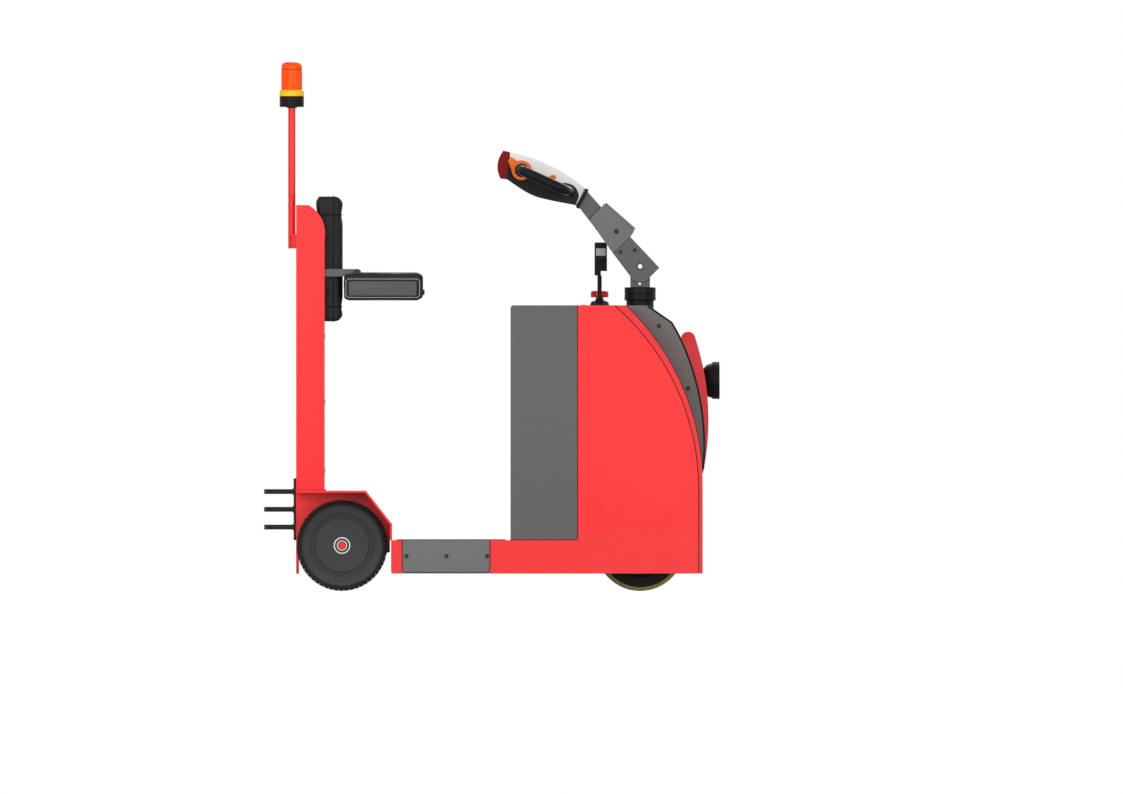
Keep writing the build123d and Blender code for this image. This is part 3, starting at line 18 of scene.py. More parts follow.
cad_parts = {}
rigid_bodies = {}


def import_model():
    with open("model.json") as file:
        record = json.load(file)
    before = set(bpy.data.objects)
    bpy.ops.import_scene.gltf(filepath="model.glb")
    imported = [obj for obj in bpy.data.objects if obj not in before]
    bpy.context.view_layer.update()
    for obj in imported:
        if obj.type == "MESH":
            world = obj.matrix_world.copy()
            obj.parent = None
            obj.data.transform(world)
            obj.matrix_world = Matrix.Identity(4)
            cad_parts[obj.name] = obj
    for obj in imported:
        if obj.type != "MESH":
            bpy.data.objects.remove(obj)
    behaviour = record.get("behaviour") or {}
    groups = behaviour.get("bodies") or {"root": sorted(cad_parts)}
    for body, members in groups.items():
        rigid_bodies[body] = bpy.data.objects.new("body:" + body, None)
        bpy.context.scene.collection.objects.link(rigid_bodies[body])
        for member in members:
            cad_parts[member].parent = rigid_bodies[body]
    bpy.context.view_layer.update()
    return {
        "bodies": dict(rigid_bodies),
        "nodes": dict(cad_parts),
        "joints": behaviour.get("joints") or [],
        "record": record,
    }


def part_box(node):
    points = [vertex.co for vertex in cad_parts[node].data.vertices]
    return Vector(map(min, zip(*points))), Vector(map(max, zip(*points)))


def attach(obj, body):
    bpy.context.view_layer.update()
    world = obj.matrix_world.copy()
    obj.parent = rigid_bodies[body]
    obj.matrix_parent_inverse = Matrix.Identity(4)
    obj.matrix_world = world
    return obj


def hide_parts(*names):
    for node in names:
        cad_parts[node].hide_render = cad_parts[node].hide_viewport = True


LOG = logging.getLogger("tug")

PHOTO_WIDTH_PX = 1123
METRES_PER_PX = 0.00275
PHOTO_CENTRE_X = 0.1918
PHOTO_CENTRE_Z = 0.5335
SIDES = (-1.0, 1.0)
NAMED_SIDES = (("left", 1.0), ("right", -1.0))

Point = tuple[float, float, float]
Colour = tuple[float, float, float]
Piece = bpy.types.Object
Tree = bpy.types.NodeTree
Socket = bpy.types.NodeSocket
Sockets = bpy.types.bpy_prop_collection


class Across(Enum):
    """Direction that a turned or pressed piece faces."""

    X = "x"
    Y = "y"
    Z = "z"


def select_none() -> None:
    """Leaves nothing selected, so that an operator acts on one piece only."""
    if bpy.context.mode != "OBJECT":
        bpy.ops.object.mode_set(mode="OBJECT")
    bpy.ops.object.select_all(action="DESELECT")


def pick(piece: Piece) -> None:
    """Makes a piece the only one selected, and the active one.

    Args:
        piece: Object that the next operator acts on.
    """
    select_none()
    piece.select_set(True)
    bpy.context.view_layer.objects.active = piece


def settle(piece: Piece) -> None:
    """Moves a piece's place, turn and scale into its mesh.

    Args:
        piece: Finished piece.
    """
    pick(piece)
    bpy.ops.object.transform_apply(location=True, rotation=True, scale=True)


def apply_modifiers(piece: Piece) -> None:
    """Applies each modifier of a piece in order.

    Args:
        piece: Object whose modifiers become part of its mesh.
    """
    pick(piece)
    for modifier in list(piece.modifiers):
        bpy.ops.object.modifier_apply(modifier=modifier.name)


def choose(piece: Piece, kind: str, test: Callable[..., bool]) -> None:
    """Selects the faces, edges or vertices that pass a test, in edit mode.

    Args:
        piece: Object in edit mode.
        kind: "FACE", "EDGE" or "VERT".
        test: Called with each bmesh element.
    """
    bpy.ops.mesh.select_mode(type=kind)
    bpy.ops.mesh.select_all(action="DESELECT")
    mesh = bmesh.from_edit_mesh(piece.data)
    elements = {"FACE": mesh.faces, "EDGE": mesh.edges, "VERT": mesh.verts}[kind]
    for element in elements:
        if test(element):
            element.select_set(True)
    mesh.select_flush_mode()
    bmesh.update_edit_mesh(piece.data)


def turn_to(direction: Across, sign: float = 1.0) -> tuple[float, float, float]:
    """Euler angles that point +Z along a direction.

    Args:
        direction: Direction to point to.
        sign: 1 or -1, for the way along it.

    Returns:
        Angles in radians.
    """
    if direction is Across.X:
        return (0.0, sign * math.pi / 2, 0.0)
    if direction is Across.Y:
        return (-sign * math.pi / 2, 0.0, 0.0)
    return (0.0 if sign > 0 else math.pi, 0.0, 0.0)


def joined(parts: Sequence[Piece], name: str) -> Piece:
    """Joins pieces into one object.

    Args:
        parts: Pieces to join, at least one.
        name: Name of the result.

    Returns:
        The joined object.
    """
    select_none()
    for part in parts:
        part.select_set(True)
    bpy.context.view_layer.objects.active = parts[0]
    if len(parts) > 1:
        bpy.ops.object.join()
    result = bpy.context.view_layer.objects.active
    result.name = name
    result.data.name = name
    return result


def removed(piece: Piece) -> None:
    """Deletes a helper piece and its mesh.

    Args:
        piece: Object that is no longer needed.
    """
    mesh = piece.data
    bpy.data.objects.remove(piece)
    bpy.data.meshes.remove(mesh)


def spread(piece: Piece, moves: Iterable[Matrix]) -> list[Piece]:
    """Puts moved copies of a piece in its place, each with its own mesh.

    Args:
        piece: Piece to copy, which is deleted.
        moves: One matrix for each copy.

    Returns:
        The copies.
    """
    copies = []
    for move in moves:
        twin = piece.copy()
        twin.data = piece.data.copy()
        twin.data.transform(move)
        bpy.context.scene.collection.objects.link(twin)
        copies.append(twin)
    removed(piece)
    return copies


def shade(piece: Piece, degrees: float = 35.0) -> None:
    """Smooths the shading of a piece across its blunt edges.

    Args:
        piece: Object to shade.
        degrees: Sharpest angle that is smoothed.
    """
    pick(piece)
    bpy.ops.object.shade_smooth_by_angle(angle=math.radians(degrees))


def bevelled(
    piece: Piece, kind: str, test: Callable[..., bool], width: float, segments: int
) -> None:
    """Bevels the edges of the faces, or the edges, that pass a test.

    Args:
        piece: Piece that was settled last.
        kind: "FACE" or "EDGE".
        test: Called with each bmesh element.
        width: Width of the bevel.
        segments: Steps across it.
    """
    bpy.ops.object.mode_set(mode="EDIT")
    choose(piece, kind, test)
    bpy.ops.mesh.bevel(offset=width, segments=segments, affect="EDGES")
    bpy.ops.object.mode_set(mode="OBJECT")


def cylinder(
    radius: float, depth: float, centre: Point, direction: Across = Across.Z, vertices: int = 48
) -> Piece:
    """Adds a round bar as the start of a piece.

    Args:
        radius: Radius of the bar.
        depth: Length of the bar.
        centre: Middle of the bar.
        direction: Way that it points.
        vertices: Sides of the bar.

    Returns:
        The bar, with its place in its mesh.
    """
    select_none()
    bpy.ops.mesh.primitive_cylinder_add(
        vertices=vertices, radius=radius, depth=depth, location=centre, rotation=turn_to(direction)
    )
    bar = bpy.context.active_object
    settle(bar)
    return bar


def block(low: Point, high: Point) -> Piece:
    """Adds a box between two corners as the start of a piece.

    Args:
        low: Lowest corner.
        high: Highest corner.

    Returns:
        The box, with its place in its mesh.
    """
    select_none()
    bottom, top = Vector(low), Vector(high)
    bpy.ops.mesh.primitive_cube_add(size=1.0, location=(bottom + top) / 2)
    made = bpy.context.active_object
    made.scale = top - bottom
    settle(made)
    return made


def soften(piece: Piece, width: float, segments: int = 3, degrees: float = 40.0) -> None:
    """Rounds the sharp edges of a piece.

    Args:
        piece: Piece to round.
        width: Width of the rounding.
        segments: Steps across it.
        degrees: Angle above which an edge counts as sharp.
    """
    rounding = piece.modifiers.new("rounding", "BEVEL")
    rounding.width = width
    rounding.segments = segments
    rounding.limit_method = "ANGLE"
    rounding.angle_limit = math.radians(degrees)
    apply_modifiers(piece)
    shade(piece, 50.0)


def turns(count: int, centre: Point, direction: Across, start: float = 0.0) -> list[Matrix]:
    """Matrices that spread copies evenly round an axis.

    Args:
        count: Number of copies.
        centre: Point on the axis.
        direction: Way that the axis points.
        start: Angle of the first copy in radians.

    Returns:
        One matrix for each copy.
    """
    out = Matrix.Translation(centre)
    back = out.inverted()
    angles = [start + 2 * math.pi * step / count for step in range(count)]
    return [out @ Matrix.Rotation(angle, 4, direction.name) @ back for angle in angles]


def ring(major: float, minor: float, centre: Point, direction: Across, squash: float) -> Piece:
    """Adds a round bead, flattened along its axis.

    Args:
        major: Radius to the middle of the bead.
        minor: Radius of the bead.
        centre: Centre of the ring.
        direction: Way that its axis points.
        squash: Height of the bead along the axis, as a share of its radius.

    Returns:
        The ring, with its place in its mesh.
    """
    select_none()
    bpy.ops.mesh.primitive_torus_add(
        major_radius=major, minor_radius=minor, major_segments=96, minor_segments=10,
        location=centre, rotation=turn_to(direction),
    )
    bead = bpy.context.active_object
    bead.scale = (1.0, 1.0, squash)
    settle(bead)
    shade(bead, 60.0)
    return bead


def corded(run: Piece, thickness: float, resolution: int, capped: bool) -> None:
    """Turns a run of edges into a round cord.

    Args:
        run: Mesh with nothing but the run's edges.
        thickness: Radius of the cord.
        resolution: Steps of its rounding.
        capped: Whether its ends are closed.
    """
    pick(run)
    bpy.ops.object.convert(target="CURVE")
    run.data.bevel_depth = thickness
    run.data.bevel_resolution = resolution
    run.data.use_fill_caps = capped
    pick(run)
    bpy.ops.object.convert(target="MESH")
    shade(run, 70.0)


def welt(corners: Sequence[Point], bend: float, thickness: float) -> Piece:
    """A round cord sewn along a closed, corner-rounded loop.

    Args:
        corners: The four corners of the loop, all in one plane.
        bend: Radius of the loop's corners.
        thickness: Radius of the cord.

    Returns:
        The cord as a mesh.
    """
    select_none()
    bpy.ops.mesh.primitive_plane_add(size=1.0)
    loop = bpy.context.active_object
    in_mesh_order = (corners[0], corners[1], corners[3], corners[2])
    for vertex, corner in zip(loop.data.vertices, in_mesh_order):
        vertex.co = corner
    bpy.ops.object.mode_set(mode="EDIT")
    bpy.ops.mesh.select_all(action="SELECT")
    bpy.ops.mesh.bevel(offset=bend, segments=6, affect="VERTICES")
    bpy.ops.mesh.select_all(action="SELECT")
    bpy.ops.mesh.delete(type="ONLY_FACE")
    bpy.ops.object.mode_set(mode="OBJECT")
    corded(loop, thickness, 3, False)
    return loop


def beading(points: Sequence[Point], thickness: float) -> Piece:
    """Round bead along a run of points, closed at both ends.

    Args:
        points: Points of the run, at least two.
        thickness: Radius of the bead.

    Returns:
        The bead as a mesh.
    """
    select_none()
    bpy.ops.mesh.primitive_plane_add(size=0.01)
    run = bpy.context.active_object
    bpy.ops.object.mode_set(mode="EDIT")
    bpy.ops.mesh.select_mode(type="VERT")
    bpy.ops.mesh.select_all(action="SELECT")
    bpy.ops.mesh.merge(type="CENTER")
    bpy.ops.transform.translate(value=points[0])
    for start, end in zip(points, points[1:]):
        step = Vector(end) - Vector(start)
        bpy.ops.mesh.extrude_vertices_move(TRANSFORM_OT_translate={"value": step})
    bpy.ops.object.mode_set(mode="OBJECT")
    corded(run, thickness, 2, True)
    return run


def both_sides(places: Sequence[tuple[float, float]], half: float, sign: float) -> list[Point]:
    """Places on one side of the machine.

    Args:
        places: X and Z of each place.
        half: Distance from the middle.
        sign: 1 for the left side and -1 for the right.

    Returns:
        The places as points.
    """
    return [(x, sign * half, z) for x, z in places]


def feed(tree: Tree, node: bpy.types.Node, feeds: dict) -> None:
    """Links or sets the inputs of a node.

    Args:
        tree: Tree that the node is in.
        node: Node to feed.
        feeds: For each input, the socket to link from or a fixed value.
    """
    for label, source in feeds.items():
        if isinstance(source, Socket):
            tree.links.new(source, node.inputs[label])
        else:
            node.inputs[label].default_value = source


def add_node(
    tree: Tree, kind: str, feeds: Optional[dict] = None, **settings: object
) -> Sockets:
    """Adds a node with its settings and inputs.

    Args:
        tree: Tree that the node goes into.
        kind: Type of the node, without "ShaderNode".
        feeds: For each input, the socket to link from or a fixed value.
        settings: Properties of the node, such as its operation.

    Returns:
        The node's outputs.
    """
    node = tree.nodes.new(kind if kind.startswith("NodeGroup") else f"ShaderNode{kind}")
    for label, value in settings.items():
        setattr(node, label, value)
    feed(tree, node, feeds or {})
    return node.outputs


class NodeGroups:
    """Shared shader effects, each built once."""

    BASE = (0.5, 0.5, 0.5, 1.0)

    def __init__(self) -> None:
        """Builds every group."""
        self.grain = self._grain()
        self.highlighted = self._highlighted()
        self.settled = self._settled()

    @staticmethod
    def _start(
        name: str, inputs: dict[str, object], outputs: dict[str, str]
    ) -> tuple[Tree, Sockets]:
        """Makes an empty group with its sockets.

        Args:
            name: Name of the group.
            inputs: Default of each input, a colour or a number.
            outputs: "Color", "Float" or "Vector" for each output.

        Returns:
            The tree and the outputs of its input node.
        """
        tree = bpy.data.node_groups.new(name, "ShaderNodeTree")
        for label, value in inputs.items():
            kind = "NodeSocketColor" if isinstance(value, tuple) else "NodeSocketFloat"
            socket = tree.interface.new_socket(label, in_out="INPUT", socket_type=kind)
            socket.default_value = value
        for label, kind in outputs.items():
            tree.interface.new_socket(label, in_out="OUTPUT", socket_type=f"NodeSocket{kind}")
        return tree, add_node(tree, "NodeGroupInput")

    @staticmethod
    def _cover(
        tree: Tree,
        entry: Sockets,
        masks: tuple[Socket, Socket],
        over: str,
        clamp: bool,
    ) -> tuple[Socket, Socket]:
        """Lays a second colour over the first where two masks overlap.

        Args:
            tree: Tree of the group.
            entry: Outputs of its input node.
            masks: The two masks.
            over: Input that holds the second colour.
            clamp: Whether the result's mask is kept between 0 and 1.

        Returns:
            The mixed colour and its mask.
        """
        both = add_node(tree, "Math", {0: masks[0], 1: masks[1]}, operation="MULTIPLY")[0]
        mask = add_node(
            tree, "Math", {0: both, 1: entry["Amount"]}, operation="MULTIPLY", use_clamp=clamp
        )[0]
        colours = {"Factor": mask, "A": entry["Color"], "B": entry[over]}
        return add_node(tree, "Mix", colours, data_type="RGBA")["Result"], mask

    def _grain(self) -> Tree:
        """Fine surface grain with a little mottling of colour and roughness.

        Returns:
            Group with outputs Color, Roughness and Height.
        """
        tree, entry = self._start(
            "surface grain",
            {
                "Color": self.BASE, "Mottle": 0.05, "Grain Scale": 900.0,
                "Roughness": 0.4, "Roughness Spread": 0.05,
            },
            {"Color": "Color", "Roughness": "Float", "Height": "Float"},
        )
        place = add_node(tree, "TexCoord")["Object"]
        grain = {"Vector": place, "Scale": entry["Grain Scale"], "Detail": 2.0}
        fine = add_node(tree, "TexNoise", grain)
        broad = add_node(tree, "TexNoise", {"Vector": place, "Scale": 7.0, "Detail": 4.0})
        centred = add_node(tree, "Math", {0: broad["Fac"], 1: 0.5}, operation="SUBTRACT")[0]
        mottle = {0: centred, 1: entry["Mottle"], 2: 1.0}
        shift = add_node(tree, "Math", mottle, operation="MULTIPLY_ADD")[0]
        tint = {0: entry["Color"], "Scale": shift}
        tinted = add_node(tree, "VectorMath", tint, operation="SCALE")
        spreading = {0: centred, 1: entry["Roughness Spread"], 2: entry["Roughness"]}
        rough = add_node(tree, "Math", spreading, operation="MULTIPLY_ADD")
        results = {"Color": tinted[0], "Roughness": rough[0], "Height": fine["Fac"]}
        add_node(tree, "NodeGroupOutput", results)
        return tree

    def _highlighted(self) -> Tree:
        """Painted highlight: a paler colour along rounded-off edges, broken up by noise.

        Returns:
            Group with outputs Color, Mask and Normal.
        """
        tree, entry = self._start(
            "rubbed edges",
            {"Color": self.BASE, "Edge Color": (0.6, 0.6, 0.6, 1.0), "Amount": 0.3},
            {"Color": "Color", "Mask": "Float", "Normal": "Vector"},
        )
        rounded = add_node(tree, "Bevel", {"Radius": 0.0016}, samples=4)[0]
        flat = add_node(tree, "NewGeometry")["Normal"]
        agree = add_node(tree, "VectorMath", {0: rounded, 1: flat}, operation="DOT_PRODUCT")["Value"]
        near = add_node(tree, "MapRange", {"Value": agree, "From Min": 0.995, "From Max": 0.86})
        place = add_node(tree, "TexCoord")["Object"]
        noise = add_node(tree, "TexNoise", {"Vector": place, "Scale": 42.0, "Detail": 5.0})["Fac"]
        broken = add_node(tree, "MapRange", {"Value": noise, "From Min": 0.42, "From Max": 0.62})
        colour, mask = self._cover(tree, entry, (near[0], broken[0]), "Edge Color", False)
        add_node(tree, "NodeGroupOutput", {"Color": colour, "Mask": mask, "Normal": rounded})
        return tree

    def _settled(self) -> Tree:
        """Road dust that gathers on low surfaces.

        Returns:
            Group with outputs Color and Mask.
        """
        tree, entry = self._start(
            "road dust",
            {"Color": self.BASE, "Dust Color": (0.24, 0.22, 0.2, 1.0), "Top": 0.2, "Amount": 0.2},
            {"Color": "Color", "Mask": "Float"},
        )
        place = add_node(tree, "TexCoord")["Object"]
        height = add_node(tree, "SeparateXYZ", {0: place})["Z"]
        fade = add_node(tree, "MapRange", {"Value": height, "From Min": entry["Top"], "From Max": 0.0})
        cloud = add_node(tree, "TexNoise", {"Vector": place, "Scale": 18.0, "Detail": 6.0})
        colour, mask = self._cover(tree, entry, (fade[0], cloud["Fac"]), "Dust Color", True)
        add_node(tree, "NodeGroupOutput", {"Color": colour, "Mask": mask})
        return tree


@dataclass(frozen=True)
class Finish:
    """One surface finish, from its colour to its grain, dust and painted edge highlight."""

    name: str
    slot: str
    colour: Colour
    roughness: float
    grain_scale: float = 700.0
    grain_depth: float = 0.1
    mottle: float = 0.06
    spread: float = 0.08
    # share of painted highlight along rounded-off edges
    edge_highlight_amount: float = 0.25
    dust: float = 0.12
    metallic: float = 0.0
    coat: float = 0.0
    specular: float = 0.5
    glow: float = 0.0
    clear: float = 0.0

    def material(self, groups: NodeGroups) -> bpy.types.Material:
        """Makes the finish's material.

        Args:
            groups: Shared effects.

        Returns:
            The material.
        """
        made = bpy.data.materials.new(self.name)
        made.use_nodes = True
        tree = made.node_tree
        colour = (*self.colour, 1.0)
        # paler copy of the colour, painted as a highlight on rounded-off edges
        lighter = tuple(min(1.0, c * 1.5 + 0.03) for c in self.colour)
        grain = add_node(tree, "Group", {
            "Color": colour, "Mottle": self.mottle, "Grain Scale": self.grain_scale,
            "Roughness": self.roughness, "Roughness Spread": self.spread,
        }, node_tree=groups.grain)
        edges = add_node(tree, "Group", {
            "Color": grain["Color"], "Edge Color": (*lighter, 1.0), "Amount": self.edge_highlight_amount,
        }, node_tree=groups.highlighted)
        dusty = {"Color": edges["Color"], "Amount": self.dust}
        base = add_node(tree, "Group", dusty, node_tree=groups.settled)
        bump = add_node(tree, "Bump", {
            "Strength": self.grain_depth, "Distance": 0.0006,
            "Height": grain["Height"], "Normal": edges["Normal"],
        })
        shader = tree.nodes["Principled BSDF"]
        feed(tree, shader, {
            "Base Color": base["Color"], "Roughness": grain["Roughness"], "Normal": bump["Normal"],
            "Metallic": self.metallic, "Coat Weight": self.coat, "Coat Roughness": 0.08,
            "Specular IOR Level": self.specular, "Transmission Weight": self.clear,
        })
        if self.glow:
            feed(tree, shader, {"Emission Color": colour, "Emission Strength": self.glow})
        return made


def grey(level: float) -> Colour:
    """Neutral colour.

    Args:
        level: Brightness from 0 to 1.

    Returns:
        The colour.
    """
    return (level, level, level)


RED = (0.89, 0.025, 0.027)
SHEET_RED = Finish("red sheet paint", "red_sheet", RED, 0.36, 260.0, 0.05, coat=0.1, specular=0.25)
SHELL_RED = Finish(
    "red moulded shell", "red_shell", (0.8, 0.02, 0.024), 0.32, 200.0, 0.04, coat=0.2, specular=0.25
)
PANEL_GREY = Finish(
    "grey cover grain", "cover_grey", (0.106, 0.106, 0.104), 0.5, 1500.0, 0.35, specular=0.25
)
COLUMN_GREY = Finish(
    "pale grey cover grain", "cover_grey", (0.148, 0.148, 0.145), 0.48, 1500.0, 0.35, specular=0.25
)
KICK_GREY = Finish(
    "kick plate paint", "dark_grey_paint", (0.148, 0.148, 0.146), 0.42, 320.0, 0.08, specular=0.25
)
ARM_GREY = Finish("tiller arm paint", "arm_grey", grey(0.094), 0.4, 320.0, 0.08, specular=0.3)
BLACK_STEEL = Finish(
    "black steel paint", "black_steel", (0.011, 0.011, 0.012), 0.42, 360.0, 0.1, specular=0.2
)
BLACK_MOULD = Finish(
    "black moulding", "black_plastic", (0.006, 0.006, 0.007), 0.4, 1400.0, 0.25, specular=0.12
)
PALE_MOULD = Finish(
    "pale head shell", "pale_plastic", (0.76, 0.76, 0.74), 0.34, 1200.0, 0.1, specular=0.3
)
ORANGE_MOULD = Finish(
    "orange thumb switch", "orange_plastic", (0.8, 0.15, 0.008), 0.38, 900.0, 0.1, specular=0.2
)
SIGNAL_RED = Finish(
    "signal red moulding", "signal_red", (0.6, 0.008, 0.006), 0.3, 900.0, 0.06, coat=0.1, specular=0.2
)
# signal red darkened to crimson: partly the button's own tone, partly painted shade on its round face
SHADED_CRIMSON = Finish(
    "crimson end button", "signal_red", (0.2, 0.003, 0.006), 0.4, 900.0, 0.08, specular=0.1
)
LENS_ORANGE = Finish(
    "orange beacon lens", "beacon_orange", (1.0, 0.088, 0.0), 0.24, 300.0, 0.0,
    mottle=0.02, spread=0.0, specular=0.14, glow=0.03, edge_highlight_amount=0.0, dust=0.0,
)
RING_YELLOW = Finish(
    "yellow beacon ring", "beacon_yellow", (0.95, 0.56, 0.01), 0.38, 900.0, 0.08, specular=0.2
)
TYRE_BLACK = Finish(
    "tyre tread rubber", "tyre_rubber", grey(0.006), 0.6, 1100.0, 0.45,
    mottle=0.2, dust=0.15, specular=0.12,
)
# same rubber as the tread in a paler tone: painted light on the flat walls, where the rounded tread stays
# dark
LIT_SIDEWALL = Finish(
    "tyre sidewall", "tyre_rubber", grey(0.03), 0.6, 1100.0, 0.3, mottle=0.12, dust=0.15, specular=0.2
)
DRIVE_YELLOW = Finish("drive tyre", "drive_tyre_pu", (0.74, 0.8, 0.19), 0.42, 600.0, 0.12, dust=0.3)
DISC_GREY = Finish(
    "wheel disc moulding", "disc_grey", grey(0.03), 0.45, 1200.0, 0.25, specular=0.22
)
DECK_RUBBER = Finish(
    "deck rubber", "deck_rubber", grey(0.014), 0.78, 1300.0, 0.5, mottle=0.2, specular=0.2
)
PAD_BLACK = Finish(
    "back pad cover", "pad_black", grey(0.007), 0.46, 1900.0, 0.5, mottle=0.1, dust=0.0, specular=0.18
)
SEAT_GREY = Finish(
    "seat cover", "seat_grey", grey(0.01), 0.46, 1900.0, 0.5, mottle=0.1, dust=0.0, specular=0.18
)
# pale tone painted as a highlight along the seat's edge fillet
SEAT_PIPING_HIGHLIGHT = Finish("pale seat piping", "seat_grey", grey(0.3), 0.45, 900.0, 0.1)
BARE_STEEL = Finish("zinc plated steel", "steel", (0.55, 0.55, 0.54), 0.3, 900.0, 0.1, metallic=1.0)
DARK_STEEL = Finish("blackened steel", "steel", (0.012, 0.012, 0.013), 0.36, 900.0, 0.1, specular=0.3)
CASTING = Finish("painted casting", "machine_iron", (0.07, 0.07, 0.075), 0.6, 420.0, 0.5, mottle=0.2)
BATTERY_CASE = Finish("battery tray", "battery_case", (0.05, 0.05, 0.06), 0.5)
# paler copy of the seat cover: painted light on the flat side face
LIT_SEAT_PANEL = Finish("seat side panel", "seat_grey", grey(0.078), 0.5, 1500.0, 0.3, specular=0.25)
# pale tone painted as a highlight on the lever's band
LEVER_HIGHLIGHT_BAND = Finish("pale lever band", "pale_plastic", grey(0.4), 0.4, 1200.0, 0.15)
BEACON_BAND = Finish(
    "beacon lens band", "beacon_orange", (0.42, 0.03, 0.0), 0.3, 900.0, 0.05, specular=0.2
)
LAMP_GLASS = Finish(
    "lamp glass", "lamp_glass", (0.95, 0.97, 1.0), 0.05, 200.0, 0.0,
    mottle=0.0, spread=0.0, dust=0.0, edge_highlight_amount=0.0, clear=1.0,
)

FINISH_NODES: dict[Finish, tuple[str, ...]] = {
    SHEET_RED: (
        "side_plate_left", "side_plate_right", "drive_bay", "hood_panel", "rear_frame", "mudguard",
        "backrest_tower", "tower_panel", "beacon_pole",
    ),
    SHELL_RED: ("front_shell", "lamp_fairing", "rear_axle"),
    PANEL_GREY: ("battery_cover",),
    COLUMN_GREY: ("column_cover", "tiller_cover"),
    KICK_GREY: ("step_plates",),
    ARM_GREY: ("seat_arms", "tiller_bracket", "tiller_side_plates", "tiller_arm"),
    BLACK_STEEL: ("deck_frame", "hitch"),
    BLACK_MOULD: (
        "headlamp_housing", "beacon_base", "hood_controls", "lever_grip", "steering_column",
        "head_lower_shell", "head_grips",
    ),
    PALE_MOULD: ("head_upper_shell",),
    ORANGE_MOULD: ("thumb_switches",),
    SIGNAL_RED: ("stop_switch_button",),
    SHADED_CRIMSON: ("end_button",),
    LENS_ORANGE: ("beacon_lens",),
    RING_YELLOW: ("beacon_ring",),
    TYRE_BLACK: ("rear_tyre_left", "rear_tyre_right"),
    DISC_GREY: ("rear_disc_left", "rear_disc_right", "drive_hub"),
    DRIVE_YELLOW: ("drive_tyre",),
    DECK_RUBBER: ("deck_mat",),
    PAD_BLACK: ("backrest_pad",),
    SEAT_GREY: ("seat_cushion",),
    DARK_STEEL: ("seat_hinges",),
    CASTING: ("drive_unit",),
    BATTERY_CASE: ("battery",),
    LAMP_GLASS: ("headlamp_lens",),
}
NODE_FINISH = {name: finish for finish, names in FINISH_NODES.items() for name in names}


class Wardrobe:
    """Every finish's material, made when it is first asked for."""

    def __init__(self) -> None:
        """Builds the shared effects."""
        self._groups = NodeGroups()
        self._made: dict[str, bpy.types.Material] = {}

    def material(self, finish: Finish) -> bpy.types.Material:
        """Material of a finish.

        Args:
            finish: Finish to look up.

        Returns:
            Its material.
        """
        if finish.name not in self._made:
            self._made[finish.name] = finish.material(self._groups)
        return self._made[finish.name]

    def dress(self, piece: Piece, finish: Finish) -> None:
        """Gives a whole piece one finish.

        Args:
            piece: Piece or CAD node.
            finish: Finish for all its faces.
        """
        made = self.material(finish)
        if not piece.material_slots:
            piece.data.materials.append(made)
        for holder in piece.material_slots:
            holder.link = "OBJECT"
            holder.material = made

    def patch(self, piece: Piece, finish: Finish, test: Callable[..., bool]) -> None:
        """Gives some faces of a dressed piece a second finish.

        Args:
            piece: Piece that already has its main finish.
            finish: Finish for the chosen faces.
            test: Called with each polygon.
        """
        piece.data.materials.append(self.material(finish))
        last = len(piece.data.materials) - 1
        for polygon in piece.data.polygons:
            if test(polygon):
                polygon.material_index = last

    def mount(self, piece: Piece, finish: Finish, body: str) -> Piece:
        """Dresses a new piece and lets it ride on a body.

        Args:
            piece: Finished mesh.
            finish: Finish for all its faces.
            body: Body that it moves with.

        Returns:
            The piece.
        """
        self.dress(piece, finish)
        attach(piece, body)
        LOG.info("%s rides on %s", piece.name, body)
        return piece


